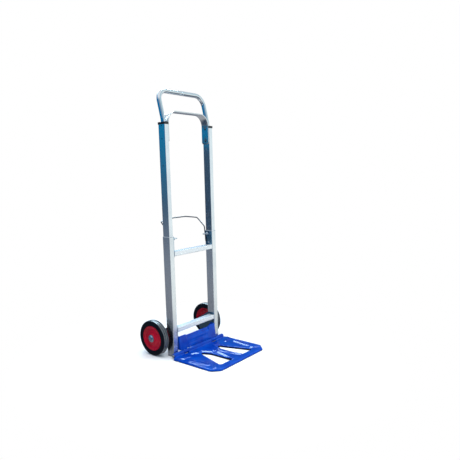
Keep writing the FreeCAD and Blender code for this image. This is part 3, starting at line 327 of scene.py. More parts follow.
def enamel(name, light, dark, chip, roughness=0.22, coat=0.14, gloss=0.3):
    """Glossy paint with orange peel, thin patches of darker coat and small scuffs."""
    finish = Finish(name, light, roughness)
    finish.set("Coat Weight", coat)
    finish.set("Coat Roughness", 0.06)
    finish.set("Specular IOR Level", gloss)
    pool = finish.noise(22, detail=3)
    scuff = finish.noise(120, detail=6, roughness=0.75, warp=0.6)
    peel = finish.noise(420, detail=2)
    paint = finish.mix_colour(finish.span(pool, 0, 1), light, dark)
    worn = finish.mix_colour(finish.span(scuff, 0, 0.5, 0.68, 0.8), paint, chip)
    finish.links.new(worn, finish.shader.inputs["Base Color"])
    finish.vary_roughness(scuff, roughness, roughness + 0.12, 0.5, 0.78)
    finish.bump(peel, 0.04, 0.0003)
    finish.bump(scuff, 0.04, 0.0002)
    return finish.material


def bright_chrome():
    """Polished chrome with faint wiping marks."""
    finish = Finish("bright_chrome", (0.76, 0.78, 0.80), 0.06, 1.0)
    wipe = finish.noise(60, (1, 1, 0.2), detail=4, warp=0.3)
    finish.vary_colour(wipe, (0.80, 0.82, 0.84), (0.70, 0.73, 0.76))
    finish.vary_roughness(wipe, 0.05, 0.08)
    finish.bump(finish.noise(300, detail=2), 0.01, 0.0001)
    return finish.material


def moulded_plastic(name, colour, roughness=0.5):
    """Fine-grained moulded plastic."""
    finish = Finish(name, colour, roughness)
    grain = finish.noise(1400, detail=2)
    worn = finish.noise(40, detail=4)
    lighter = tuple(min(1, 1.5 * part + 0.01) for part in colour)
    finish.vary_colour(worn, colour, lighter)
    finish.vary_roughness(worn, roughness - 0.08, roughness + 0.1)
    finish.bump(grain, 0.2, 0.0002)
    return finish.material


def tyre_rubber(name, light, dark, gloss, roughness):
    """Solid black rubber, dusty in places; the tread is rubbed smoother than the sidewall, and
    painted a lighter grey as sheen.
    """
    finish = Finish(name, dark, roughness)
    finish.set("Specular IOR Level", gloss)
    dust = finish.noise(35, detail=5, roughness=0.65)
    grain = finish.noise(900, detail=3)
    finish.vary_colour(dust, dark, light, 0.4, 0.75)
    finish.vary_roughness(dust, roughness - 0.08, roughness + 0.12)
    finish.bump(grain, 0.2, 0.0003)
    return finish.material


def zinc_plate(name="zinc_plate", light=(0.72, 0.74, 0.77), dark=(0.5, 0.53, 0.58), rough=0.3):
    """Zinc-plated steel with a faint crystal pattern."""
    finish = Finish(name, light, rough, 1.0)
    bloom = finish.noise(160, detail=4, warp=0.8)
    finish.vary_colour(bloom, light, dark)
    finish.vary_roughness(bloom, rough - 0.06, rough + 0.12)
    finish.bump(bloom, 0.05, 0.0002)
    return finish.material


FINISHES = {
    "upright_metal": drawn_metal("upright_metal", (0.90, 0.91, 0.92), (0.80, 0.82, 0.84), 0.22, 2),
    "mast_metal": drawn_metal("mast_metal", (0.88, 0.90, 0.92), (0.78, 0.81, 0.85), 0.18, 2),
    "bar_metal": drawn_metal("bar_metal", (0.91, 0.92, 0.93), (0.82, 0.84, 0.86), 0.24, 0, 0.6),
    "arch_metal": drawn_metal("arch_metal", (0.80, 0.80, 0.81), (0.68, 0.69, 0.71), 0.2, 0),
    "blue_enamel": enamel("blue_enamel", (0.0, 0.070, 0.48), (0.0, 0.030, 0.33),
                          (0.0, 0.12, 0.56), 0.11, 0.0, 0.22),
    "red_enamel": enamel("red_enamel", (0.44, 0.0, 0.02), (0.31, 0.0, 0.010),
                         (0.45, 0.02, 0.04), 0.36, 0.05, 0.2),
    # partly painted shade: the wheel brackets' dark teal is in part dark steel, in part the shade
    # under the low crossbar
    "bracket_steel": zinc_plate("bracket_steel", (0.15, 0.24, 0.30), (0.09, 0.15, 0.20), 0.3),
    "bright_chrome": bright_chrome(),
    "black_plastic": moulded_plastic("black_plastic", (0.004, 0.004, 0.006), 0.4),
    "grey_plastic": moulded_plastic("grey_plastic", (0.38, 0.40, 0.42), 0.5),
    "bush_plastic": moulded_plastic("bush_plastic", (0.6, 0.58, 0.52), 0.45),
    "tyre_rubber": tyre_rubber("tyre_rubber", (0.004, 0.006, 0.012), (0.001, 0.002, 0.006),
                               0.15, 0.5),
    # painted sheen: the tread's lighter grey stands for light glancing off its glossy rubber
    "tyre_tread": tyre_rubber("tyre_tread", (0.10, 0.11, 0.12), (0.05, 0.056, 0.065),
                              0.8, 0.3),
    "zinc_plate": zinc_plate(),
    # painted reflection: the latch plates' zinc is tinted sky blue for the sky they reflect
    "latch_painted_reflection": zinc_plate("latch_painted_reflection", (0.24, 0.43, 0.56), (0.15, 0.30, 0.42), 0.28),
    "bail_wire": zinc_plate("bail_wire", (0.20, 0.21, 0.23), (0.12, 0.12, 0.14), 0.3),
    "cap_steel": zinc_plate("cap_steel", (0.46, 0.53, 0.58), (0.30, 0.37, 0.43), 0.16),
    # painted shade: near-black for the shade on the toe plate's opening walls and rim foot
    "painted_shade_edge": enamel("painted_shade_edge", (0.002, 0.003, 0.012), (0.001, 0.001, 0.004),
                       (0.004, 0.008, 0.03)),
}


def paint_cad_nodes():
    """Finishes for the CAD nodes that stay as they are."""
    by_slot = {
        "aluminium": "upright_metal", "black_plastic": "black_plastic",
        "grey_plastic": "grey_plastic", "dark_steel": "bracket_steel",
        "zinc_steel": "zinc_plate", "chrome": "bright_chrome", "tyre": "tyre_rubber",
        "red_paint": "red_enamel", "bush_plastic": "bush_plastic", "blue_paint": "blue_enamel",
    }
    special = {"mid_crossbar": "bar_metal", "low_crossbar": "bar_metal",
               "inner_upright_left": "mast_metal", "inner_upright_right": "mast_metal",
               "carrying_arch": "arch_metal"}
    for entry in frame["record"]["subparts"]:
        node = entry["node"]
        name = special.get(node, by_slot[entry["material_slot"]])
        mesh = frame["nodes"][node].data
        mesh.materials.clear()
        mesh.materials.append(FINISHES[name])


# ---------------------------------------------------------------- making pieces

def place_mesh(name, mesh, body, nodes, finishes=(), sharp=35):
    """A finished piece: smooth shaded, riding on its body and standing for its CAD nodes."""
    item = linked(name, mesh)
    if finishes:
        if mesh.materials:
            mesh.materials.clear()
        for finish in finishes:
            mesh.materials.append(FINISHES[finish])
    mesh.shade_smooth()
    mesh.set_sharp_from_angle(angle=math.radians(sharp))
    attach(item, body)
    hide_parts(*nodes)
    return item


def mesh_from(bm, name, outward=True):
    """The mesh of a bmesh, with its faces turned outwards."""
    if outward:
        bmesh.ops.recalc_face_normals(bm, faces=bm.faces)
    mesh = bpy.data.meshes.new(name)
    bm.to_mesh(mesh)
    bm.free()
    return mesh


def softened(node, body, finish, width, segments=3, sharp=35):
    """A copy of a CAD piece with its hard edges rounded over."""
    bm = bmesh.new()
    bm.from_mesh(frame["nodes"][node].data)
    bmesh.ops.remove_doubles(bm, verts=bm.verts, dist=0.01 * MM)
    bmesh.ops.dissolve_limit(bm, angle_limit=math.radians(2), verts=bm.verts, edges=bm.edges)
    hard = [edge for edge in bm.edges
            if len(edge.link_faces) == 2 and edge.calc_face_angle(0) > math.radians(40)]
    bmesh.ops.bevel(bm, geom=hard, offset=width * MM, segments=segments, profile=0.5,
                    affect="EDGES", clamp_overlap=True)
    bmesh.ops.triangulate(bm, faces=[face for face in bm.faces if len(face.verts) > 4])
    return place_mesh(node + "_soft", mesh_from(bm, node), body, [node], [finish], sharp)


def skin(bm, rings):
    """Faces that join each ring of corners to the next."""
    made = []
    for first, second in zip(rings, rings[1:]):
        for i in range(len(first)):
            after = (i + 1) % len(first)
            made.append(bm.faces.new((first[i], first[after], second[after], second[i])))
    return made


# ---------------------------------------------------------------- outlines and pressed sheets

def unit(vector):
    """A vector of length one."""
    return vector / vector.length


def rounded_loop(corners, radii, turn_step=9):
    """Points round a closed outline whose corners are arcs, one radius each."""
    points = []
    count = len(corners)
    for index in range(count):
        corner = Vector(corners[index])
        radius = radii[index]
        back = Vector(corners[index - 1]) - corner
        ahead = Vector(corners[(index + 1) % count]) - corner
        turn = math.pi - back.angle(ahead)
        if radius <= 0 or turn < 0.01:
            points.append(corner)
            continue
        reach = radius * math.tan(turn / 2)
        most = 0.48 * min(back.length, ahead.length)
        if reach > most:
            radius *= most / reach
            reach = most
        middle = corner + unit(unit(back) + unit(ahead)) * (radius / math.cos(turn / 2))
        first = corner + unit(back) * reach - middle
        last = corner + unit(ahead) * reach - middle
        start = math.atan2(first.y, first.x)
        swing = math.atan2(last.y, last.x) - start
        swing = (swing + math.pi) % (2 * math.pi) - math.pi
        steps = max(2, round(math.degrees(abs(swing)) / turn_step))
        for step in range(steps + 1):
            angle = start + swing * step / steps
            points.append(middle + Vector((math.cos(angle), math.sin(angle))) * radius)
    return points


def signed_area(loop):
    """Twice a loop's area, positive when it runs anticlockwise."""
    return sum(a.x * b.y - b.x * a.y for a, b in zip(loop, loop[1:] + loop[:1]))


def facing(loop, anticlockwise):
    """A loop made to run the asked way round."""
    return loop if (signed_area(loop) > 0) == anticlockwise else list(reversed(loop))


def offset_loop(points, distance):
    """A closed loop moved to its left by a distance."""
    moved = []
    count = len(points)
    for index in range(count):
        before = unit(points[index] - points[index - 1])
        after = unit(points[(index + 1) % count] - points[index])
        normal = unit(Vector((-before.y - after.y, before.x + after.x)))
        share = max(0.5, normal.dot(Vector((-before.y, before.x))))
        moved.append(points[index] + normal * (distance / share))
    return moved


def even_loop(points, step):
    """A closed loop with extra points on its long runs."""
    out = []
    for index, start in enumerate(points):
        end = points[(index + 1) % len(points)]
        parts = max(1, round((end - start).length / step))
        out += [start.lerp(end, part / parts) for part in range(parts)]
    return out


def gap_to_segment(spots, start, end):
    """Each spot's distance to a straight segment."""
    start, end = np.array(start, float), np.array(end, float)
    run = end - start
    share = ((spots - start) @ run) / max(run @ run, 1e-12)
    foot = start + np.clip(share, 0, 1)[:, None] * run
    return np.linalg.norm(spots - foot, axis=1)


def gap_to_loops(spots, loops):
    """Each spot's distance to the nearest of some closed loops."""
    nearest = np.full(len(spots), 1e9)
    for loop in loops:
        ring = np.array([tuple(point) for point in loop])
        for start, end in zip(ring, np.roll(ring, -1, axis=0)):
            nearest = np.minimum(nearest, gap_to_segment(spots, start, end))
    return nearest


def inside_loop(spots, loop):
    """Which spots lie inside a closed loop."""
    ring = np.array([tuple(point) for point in loop])
    inside = np.zeros(len(spots), bool)
    x, y = spots[:, 0], spots[:, 1]
    for (x0, y0), (x1, y1) in zip(ring, np.roll(ring, -1, axis=0)):
        if y0 != y1:
            inside ^= ((y0 > y) != (y1 > y)) & (x < (x1 - x0) * (y - y0) / (y1 - y0) + x0)
    return inside


def in_sheet(spots, loops):
    """Which spots lie inside the first loop and outside the others."""
    keep = inside_loop(spots, loops[0])
    for loop in loops[1:]:
        keep &= ~inside_loop(spots, loop)
    return keep


def ease(value, low, high):
    """A smooth step from 0 at low to 1 at high."""
    share = np.clip((value - low) / (high - low), 0, 1)
    return share * share * (3 - 2 * share)


def sheet_pattern(outline, holes, pitch, rings):
    """Flat spots and triangles that fill an outline round its holes, finer along the edges.

    Returns the spots, the triangles and the closed loops that bound them.
    """
    loops = [even_loop(facing(outline, True), 1.6 * pitch)]
    loops += [even_loop(facing(hole, False), 1.6 * pitch) for hole in holes]
    spots, edges = [], []
    for loop in loops:
        first = len(spots)
        spots += loop
        edges += [(first + i, first + (i + 1) % len(loop)) for i in range(len(loop))]
    fringe = [point for distance in rings for loop in loops
              for point in offset_loop(loop, distance)]
    fringe = np.array([tuple(point) for point in fringe])
    fringe = fringe[in_sheet(fringe, loops)]
    fringe = fringe[gap_to_loops(fringe, loops) > 0.6 * rings[0]]
    ring = np.array([tuple(point) for point in loops[0]])
    low, high = ring.min(0), ring.max(0)
    field = np.array([(x + (row % 2) * pitch / 2, y)
                      for row, y in enumerate(np.arange(low[1], high[1], pitch * 0.87))
                      for x in np.arange(low[0], high[0], pitch)])
    field = field[in_sheet(field, loops)]
    field = field[gap_to_loops(field, loops) > rings[-1] + 0.45 * pitch]
    spots += [Vector(spot) for spot in fringe] + [Vector(spot) for spot in field]
    made = geometry.delaunay_2d_cdt(spots, edges, [], 0, 1e-7)
    flat = np.array([tuple(point) for point in made[0]])
    faces = np.array([face for face in made[2] if len(face) == 3])
    return flat, faces[in_sheet(flat[faces].mean(1), loops)], loops


def rolled_edge(gap, radius):
    """How far a sheet has dropped at a distance from an edge that is bent over."""
    near = np.clip(radius - gap, 0, radius)
    return radius - np.sqrt(radius * radius - near * near)


def sheet_mesh(spots, faces):
    """An open sheet from its spots in space, facing the way its triangles run."""
    bm = bmesh.new()
    verts = [bm.verts.new(spot) for spot in spots]
    for face in faces:
        bm.faces.new([verts[i] for i in face])
    bmesh.ops.recalc_face_normals(bm, faces=bm.faces)
    bm.normal_update()
    return bm


def face_towards(bm, direction):
    """Turn a whole sheet over if most of it faces away from a direction."""
    lean = sum((face.normal * face.calc_area() for face in bm.faces), Vector())
    if lean.dot(Vector(direction)) < 0:
        bmesh.ops.reverse_faces(bm, faces=bm.faces)
    bm.normal_update()


def thicken(bm, wall):
    """Give an open sheet its thickness on the inner side, and close its free edges."""
    bm.normal_update()
    verts, faces = list(bm.verts), list(bm.faces)
    rim = [edge for edge in bm.edges if len(edge.link_faces) == 1]
    ends = [[loop.vert for loop in edge.link_loops[0].face.loops if loop.edge == edge]
            for edge in rim]
    copies = {vert: bm.verts.new(vert.co - vert.normal * wall) for vert in verts}
    for face in faces:
        made = bm.faces.new([copies[vert] for vert in reversed(face.verts)])
        made.material_index = face.material_index
    for edge, (start,) in zip(rim, ends):
        other = edge.other_vert(start)
        made = bm.faces.new((other, start, copies[start], copies[other]))
        made.material_index = edge.link_faces[0].material_index


def turn_down(bm, levels, is_painted_shade):
    """Walls from a sheet's free edges down through some heights, painted dark as shade where
    asked.
    """
    rim = [edge for edge in bm.edges if len(edge.link_faces) == 1]
    for number, level in enumerate(levels):
        made = bmesh.ops.extrude_edge_only(bm, edges=rim)["geom"]
        lowered = [item for item in made if isinstance(item, bmesh.types.BMVert)]
        for vert in lowered:
            vert.co.z = min(vert.co.z, level)
        for item in made:
            if isinstance(item, bmesh.types.BMFace):
                middle = item.calc_center_median()
                item.material_index = int(is_painted_shade(middle, number == len(levels) - 1))
        lowered = set(lowered)
        rim = [item for item in made if isinstance(item, bmesh.types.BMEdge)
               and item.verts[0] in lowered and item.verts[1] in lowered]


def roll(bm, start, end, y, z, outer, inner, count=36):
    """A closed tube along X with eased rims, added to a mesh that is being made."""
    rings = []
    for x, radius in ((start, inner), (start, outer - 0.7), (start + 0.2, outer - 0.2),
                      (start + 0.7, outer), (end - 0.7, outer), (end - 0.2, outer - 0.2),
                      (end, outer - 0.7), (end, inner)):
        rings.append([bm.verts.new((x * MM, (y + radius * math.cos(2 * math.pi * i / count)) * MM,
                                    (z + radius * math.sin(2 * math.pi * i / count)) * MM))
                      for i in range(count)])
    bmesh.ops.recalc_face_normals(bm, faces=skin(bm, rings + rings[:1]))


# ---------------------------------------------------------------- toe plate

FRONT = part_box("lower_upright_left")[0].y / MM  # the uprights' front face
HINGE_Y, HINGE_Z = FRONT - 10, 13
LUG_IN, LUG_OUT = 77, 102.6
EAR_OUTER = 160
SHEET_PITCH = 2.3  # the triangles' size in both pressed sheets
SKIN_TOP = 9
CORNER_CUT, CORNER_BEND = 31, 16
BOSS_BACK, BOSS_RADIUS, BOSS_RISE = 96, 13, 3
HOLE_RADIUS, HOLE_DISH = 4, 1.2
WEB_LEAN, WEB_BACK, WEB_HOLLOW = 0.24, 112, 4.0
RIM_ROUND = 5.0
OPENING_ROUND = 3.0
OPENING = ((33, -104), (48, -72), (62, -72), (106, -208), (98, -214), (33, -214))
OPENING_BENDS = (9, 7, 8, 3, 4, 4)
OVAL = ((148, -98), (136, -172))
OVAL_RING, OVAL_HOLLOW = 3.0, 3.4
HINGE_RISE = 3.5
TOE_RIDGES = (
    # start, end, half width, rise; mirrored to the other side
    ((42, -58), (22, -100), 11.5, 3.8),
    ((5, -118), (30, -211), 10.5, 3.9),
    ((94, -32), (90, -44), 8.0, 2.6),
    ((90, -44), (66, -60), 9.5, 3.2),
    ((66, -60), (42, -58), 9.5, 3.4),
    ((122, -200), (148, -222), 10.5, 3.6),
    ((165, -36), (150, -58), 10.0, 3.4),
    ((150, -58), (118, -62), 9.5, 3.2),
)


def flank(far, wide):
    """A ridge's height as a share of its rise: a straight flank with an eased crest and foot."""
    share = np.clip(1 - far / wide, 0, 1)
    return 0.75 * share + 0.25 * share * share * (3 - 2 * share)


def toe_heights(spots, loops):
    """The pressed face's height over each flat spot: ridges, hollows, boss and rolled rims."""
    x, y = np.abs(spots[:, 0]), spots[:, 1]
    height = np.full(len(spots), float(SKIN_TOP))
    boss = np.hypot(spots[:, 0], y + BOSS_BACK)
    web = WEB_LEAN * (-y - WEB_BACK) - x
    height -= WEB_HOLLOW * ease(web, 0, 5) * ease(-y, 116, 128) * ease(y, -212, -202)
    for start, end, wide, rise in TOE_RIDGES:
        for side in (-1, 1):
            far = gap_to_segment(spots, (side * start[0], start[1]), (side * end[0], end[1]))
            height = np.maximum(height, SKIN_TOP + rise * flank(far, wide))
    raised = 1 - ease(boss, BOSS_RADIUS - 3.5, BOSS_RADIUS + 3)
    height = np.maximum(height, SKIN_TOP + BOSS_RISE * raised)
    height -= HOLE_DISH * (1 - ease(boss, HOLE_RADIUS + 0.2, HOLE_RADIUS + 2.5))
    for side in (-1, 1):
        far = gap_to_segment(spots, *((side * end[0], end[1]) for end in OVAL))
        height += OVAL_RING * (ease(far, 5, 8.5) - 1 + flank(far - 8.5, 8.5))
        height -= OVAL_HOLLOW * (1 - ease(far, 4, 8))
    height += HINGE_RISE * ease(y, -24, -17) * (x < EAR_OUTER + 1)
    height -= rolled_edge(gap_to_loops(spots, loops[:1]), RIM_ROUND)
    return height - rolled_edge(gap_to_loops(spots, loops[1:]), OPENING_ROUND)


def toe_plate():
    """The pressed toe plate: rolled rim, flanged openings, ridges, boss and hinge rolls."""
    low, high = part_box("toe_plate")
    half = high.x / MM
    nose = low.y / MM - FRONT
    corners = [(half, -18.5), (EAR_OUTER, -18.5), (EAR_OUTER, -13), (LUG_OUT, -13),
               (LUG_OUT, -21), (LUG_IN, -21), (LUG_IN, -13)]
    corners += [(-x, y) for x, y in reversed(corners)]
    corners += [(-half, nose + CORNER_CUT), (-half + CORNER_CUT, nose),
                (half - CORNER_CUT, nose), (half, nose + CORNER_CUT)]
    bends = [5, 1, 1, 1, 2, 2, 1]
    outline = rounded_loop(corners, bends + bends[::-1] + [CORNER_BEND] * 4)
    right = rounded_loop(OPENING, OPENING_BENDS)
    left = [Vector((-point.x, point.y)) for point in right]
    turns = [2 * math.pi * step / 24 for step in range(24)]
    hole = [Vector((HOLE_RADIUS * math.cos(turn), HOLE_RADIUS * math.sin(turn) - BOSS_BACK))
            for turn in turns]
    flat, faces, loops = sheet_pattern(outline, [right, left, hole], SHEET_PITCH,
                                       (0.35, 0.9, 1.8, 3.0, 4.8))
    heights = toe_heights(flat, loops)
    bm = sheet_mesh([(x * MM, (y + FRONT) * MM, z * MM) for (x, y), z in zip(flat, heights)],
                    faces)
    face_towards(bm, (0, 0, 1))

    def is_painted_shade(spot, lowest):
        """Painted shade: the openings' walls and the rim's lower edge are near-black for the shade
        that falls on them.
        """
        x, y = abs(spot.x) / MM, spot.y / MM - FRONT
        return lowest or (x < 108 and -216 < y < -70)
    turn_down(bm, (0.0045, 0.0022, 0.0), is_painted_shade)
    thicken(bm, 1.6 * MM)
    for start, end in ((-LUG_IN, LUG_IN), (LUG_OUT, EAR_OUTER), (-EAR_OUTER, -LUG_OUT)):
        roll(bm, start, end, HINGE_Y, HINGE_Z, 9, 4.1)
    place_mesh("toe_plate_pressing", mesh_from(bm, "toe_plate", False), "toe_plate",
               ["toe_plate"], ["blue_enamel", "painted_shade_edge"], 48)


# ---------------------------------------------------------------- hinge panel

def hinge_panel():
    """The pressed panel between the uprights, bent back at its sides, with two hinge lugs."""
    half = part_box("hinge_bracket")[1].x / MM
    bend = 5.0
    flat_half = half - bend
    arc = bend * math.pi / 2

    def front_at(z):
        """The leaning panel's front, behind the uprights' front face when positive."""
        return -12 + 8 * (z - 24) / 58

    def unrolled(y, z):
        """The place across the unbent sheet of a spot at depth y on the side flange."""
        return flat_half + arc + (y - front_at(z) - bend)
    corners = [(LUG_IN + 0.6, 24), (LUG_IN + 0.6, 13), (102, 13), (102, 24),
               (unrolled(30, 24), 24), (unrolled(30, 68), 68), (unrolled(20, 82), 82),
               (76, 82), (69, 76)]
    bends = [2, 0, 0, 2, 4, 4, 4, 4, 4]
    corners += [(-x, z) for x, z in reversed(corners)]
    outline = rounded_loop(corners, bends + bends[::-1])
    flat, faces, loops = sheet_pattern(outline, [], SHEET_PITCH, (0.4, 1.0, 1.8, 2.8))
    across, z = flat[:, 0], flat[:, 1]
    push = 4.2 * ease(z, 60.5, 65.5) * (1 - ease(np.abs(across), 68, 74))
    push += 0.9 * (1 - ease(np.abs(z - 44), 5, 9)) * (1 - ease(np.abs(across), 58, 64))
    edge = gap_to_loops(flat, loops)
    push += rolled_edge(edge, 2.6) * (z > 26)
    spots = []
    for (s, height), depth in zip(flat, push):
        side = 1 if s > 0 else -1
        front = front_at(height)
        turn = min(max((abs(s) - flat_half) / bend, 0), math.pi / 2)
        beyond = max(abs(s) - flat_half - arc, 0)
        x = min(abs(s), flat_half) + (bend - depth) * math.sin(turn)
        y = front + bend - (bend - depth) * math.cos(turn) + beyond
        spots.append((side * x * MM, (y + FRONT) * MM, height * MM))
    bm = sheet_mesh(spots, faces)
    face_towards(bm, (0, -1, 0))
    thicken(bm, 2.0 * MM)
    for start, end in ((LUG_IN + 0.6, 102), (-102, -LUG_IN - 0.6)):
        roll(bm, start, end, HINGE_Y, HINGE_Z, 9, 4.0)
    place_mesh("hinge_panel", mesh_from(bm, "hinge_panel", False), "frame",
               ["hinge_bracket"], ["blue_enamel"], 48)


# ---------------------------------------------------------------- wheels

def turned(name, section, centre, side, segments):
    """A mesh turned about the axle from a closed section of (outboard, radius)."""
    bm = bmesh.new()
    rings = []
    for step in range(segments):
        angle = 2 * math.pi * step / segments
        rings.append([bm.verts.new((centre.x + side * outboard,
                                    centre.y + radius * math.cos(angle),
                                    centre.z + radius * math.sin(angle)))
                      for outboard, radius in section])
    skin(bm, rings + rings[:1])
    bmesh.ops.remove_doubles(bm, verts=bm.verts, dist=0.005 * MM)
    return mesh_from(bm, name)


HALF_TYRE = (
    # outboard, radius, corner radius: from the groove out to the seat
    (3.6, 75.0, 0.5), (4.0, 72.6, 0.5), (6.0, 72.6, 0.5), (6.4, 75.0, 0.5),
    (10.4, 74.3, 1.0), (12.4, 73.6, 1.6), (14.6, 71.0, 2.0), (15.3, 68.6, 0.6),
    (15.0, 67.6, 1.0), (15.9, 63.0, 6.0), (15.7, 57.0, 3.0), (14.6, 53.8, 0.9),
    (12.0, 52.8, 0.6), (12.0, 48.6, 0.4),
)
TYRE_SECTION = tuple((-x, radius, bend) for x, radius, bend in reversed(HALF_TYRE)) + HALF_TYRE
TREAD_FROM = 73.4  # the running surface, glossier and painted a lighter grey as sheen, begins at this radius
RIM_SECTION = (
    (-17.0, 10.0, 0.3), (-17.0, 16.6, 1.0), (-3.0, 18.4, 2.5), (1.5, 27.0, 6.0),
    (0.5, 38.0, 5.0), (-9.5, 45.6, 3.0), (-14.0, 48.6, 1.2), (-15.1, 51.2, 1.1),
    (-13.2, 52.2, 0.8), (-12.0, 51.4, 0.6), (-12.0, 48.5, 0.5),
    (12.0, 48.5, 0.5), (12.0, 51.4, 0.6), (13.2, 52.2, 0.8), (15.1, 51.2, 1.1),
    (14.4, 48.4, 1.2), (11.5, 46.2, 1.5), (9.4, 43.0, 2.0), (7.6, 39.0, 3.0),
    (9.0, 30.5, 4.0), (11.8, 24.5, 3.0), (12.6, 20.5, 1.5), (16.2, 18.2, 1.6),
    (17.0, 15.8, 0.8), (17.0, 10.0, 0.3),
)
CAP_SECTION = (
    (17.4, 6.0, 0.0), (17.4, 15.9, 0.3), (18.4, 16.0, 0.4), (19.0, 14.8, 0.5),
    (19.4, 13.4, 0.8), (22.2, 11.6, 2.4), (24.0, 7.6, 3.5), (24.4, 3.6, 0.8),
    (23.0, 2.4, 0.6), (22.8, 0.002, 0.0), (20.4, 0.002, 0.0), (20.4, 6.0, 0.0),
)


def wheels():
    """Both wheels: a tyre with sidewall rings and two grooves, a dished rim, and a cap."""
    for name, side in SIDES:
        low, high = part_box(f"tyre_{name}")
        centre = (low + high) / 2
        for node, profile, body, finish, count in (
                ("tyre", TYRE_SECTION, f"{name}_wheel", "tyre_rubber", 144),
                ("wheel_rim", RIM_SECTION, f"{name}_wheel", "red_enamel", 120),
                ("axle_cap", CAP_SECTION, "frame", "cap_steel", 72)):
            corners = [(outboard, radius) for outboard, radius, _ in profile]
            bends = [bend for _, _, bend in profile]
            line = [(spot.x * MM, spot.y * MM) for spot in rounded_loop(corners, bends, 18)]
            mesh = turned(node, line, centre, side, count)
            finishes = [finish]
            if node == "tyre":
                finishes.append("tyre_tread")
                # the tread faces take the glossier rubber, painted a lighter grey as sheen
                for face in mesh.polygons:
                    off = face.center - centre
                    face.material_index = int(math.hypot(off.y, off.z) > TREAD_FROM * MM)
            place_mesh(f"{node}_{name}_shape", mesh, body, [f"{node}_{name}"], finishes, 50)


# ---------------------------------------------------------------- bent rods and rivet heads

def new_tree(name, inputs):
    """A Geometry Nodes tree with geometry in and out and some named inputs."""
    tree = bpy.data.node_groups.new(name, "GeometryNodeTree")
    tree.interface.new_socket("Geometry", in_out="INPUT", socket_type="NodeSocketGeometry")
    for label, kind in inputs:
        tree.interface.new_socket(label, in_out="INPUT", socket_type=kind)
    tree.interface.new_socket("Geometry", in_out="OUTPUT", socket_type="NodeSocketGeometry")
    return tree, tree.nodes.new("NodeGroupInput"), tree.nodes.new("NodeGroupOutput")


def named(tree, attribute, kind):
    """A node that reads an attribute of the mesh."""
    node = tree.nodes.new("GeometryNodeInputNamedAttribute")
    node.data_type = kind
    node.inputs["Name"].default_value = attribute
    return node.outputs["Attribute"]


def finish_tree(tree, geometry_out, start, end):
    """End a tree in real geometry with its material."""
    real = tree.nodes.new("GeometryNodeRealizeInstances")
    coat = tree.nodes.new("GeometryNodeSetMaterial")
    tree.links.new(geometry_out, real.inputs["Geometry"])
    tree.links.new(real.outputs["Geometry"], coat.inputs["Geometry"])
    tree.links.new(start.outputs["Material"], coat.inputs["Material"])
    tree.links.new(coat.outputs["Geometry"], end.inputs["Geometry"])


def bent_rod_tree():
    """A round rod along a line whose corners are bent to the 'bend' attribute's radius."""
    tree, start, end = new_tree("bent_rod", (
        ("Rod Radius", "NodeSocketFloat"), ("Sides", "NodeSocketInt"),
        ("Bend Steps", "NodeSocketInt"), ("Material", "NodeSocketMaterial")))
    line = tree.nodes.new("GeometryNodeMeshToCurve")
    bend = tree.nodes.new("GeometryNodeFilletCurve")
    bend.mode = "POLY"
    bend.inputs["Limit Radius"].default_value = True
    ring = tree.nodes.new("GeometryNodeCurvePrimitiveCircle")
    body = tree.nodes.new("GeometryNodeCurveToMesh")
    body.inputs["Fill Caps"].default_value = True
    tree.links.new(start.outputs["Geometry"], line.inputs["Mesh"])
    tree.links.new(line.outputs["Curve"], bend.inputs["Curve"])
    tree.links.new(start.outputs["Bend Steps"], bend.inputs["Count"])
    tree.links.new(named(tree, "bend", "FLOAT"), bend.inputs["Radius"])
    tree.links.new(start.outputs["Sides"], ring.inputs["Resolution"])
    tree.links.new(start.outputs["Rod Radius"], ring.inputs["Radius"])
    tree.links.new(bend.outputs["Curve"], body.inputs["Curve"])
    tree.links.new(ring.outputs["Curve"], body.inputs["Profile Curve"])
    finish_tree(tree, body.outputs["Mesh"], start, end)
    return tree


def seated_heads_tree():
    """A fastener on every seat, its head looking along the seat's 'outward' attribute."""
    tree, start, end = new_tree("seated_heads", (
        ("Fastener", "NodeSocketObject"), ("Scale", "NodeSocketFloat"),
        ("Material", "NodeSocketMaterial")))
    info = tree.nodes.new("GeometryNodeObjectInfo")
    aim = tree.nodes.new("FunctionNodeAlignRotationToVector")
    aim.axis = "Z"
    seat = tree.nodes.new("GeometryNodeInstanceOnPoints")
    tree.links.new(start.outputs["Fastener"], info.inputs["Object"])
    tree.links.new(named(tree, "outward", "FLOAT_VECTOR"), aim.inputs["Vector"])
    tree.links.new(start.outputs["Geometry"], seat.inputs["Points"])
    tree.links.new(info.outputs["Geometry"], seat.inputs["Instance"])
    tree.links.new(aim.outputs["Rotation"], seat.inputs["Rotation"])
    tree.links.new(start.outputs["Scale"], seat.inputs["Scale"])
    finish_tree(tree, seat.outputs["Instances"], start, end)
    return tree


def grown(name, mesh, tree, values):
    """The plain mesh that a tree makes from a mesh, with the tree's inputs given by name."""
    item = linked(name, mesh)
    modifier = item.modifiers.new(tree.name, "NODES")
    modifier.node_group = tree
    for socket in tree.interface.items_tree:
        if socket.item_type == "SOCKET" and socket.in_out == "INPUT" and socket.name in values:
            modifier[socket.identifier] = values[socket.name]
    ready = item.evaluated_get(bpy.context.evaluated_depsgraph_get())
    made = bpy.data.meshes.new_from_object(ready)
    bpy.data.objects.remove(item)
    for attribute in ("bend", "outward"):
        if attribute in made.attributes:
            made.attributes.remove(made.attributes[attribute])
    return made


def rod(name, spots, bends, radius, body, node, finish, sides=32, steps=14):
    """A bent rod through some corners, each with its bend radius, in millimetres."""
    mesh = bpy.data.meshes.new(name)
    mesh.from_pydata([[part * MM for part in spot] for spot in spots],
                     [(i, i + 1) for i in range(len(spots) - 1)], [])
    layer = mesh.attributes.new("bend", "FLOAT", "POINT")
    layer.data.foreach_set("value", [bend * MM for bend in bends])
    made = grown(name, mesh, ROD_TREE, {
        "Rod Radius": radius * MM, "Sides": sides, "Bend Steps": steps,
        "Material": FINISHES[finish]})
    return place_mesh(name, made, body, [node], (), 50)


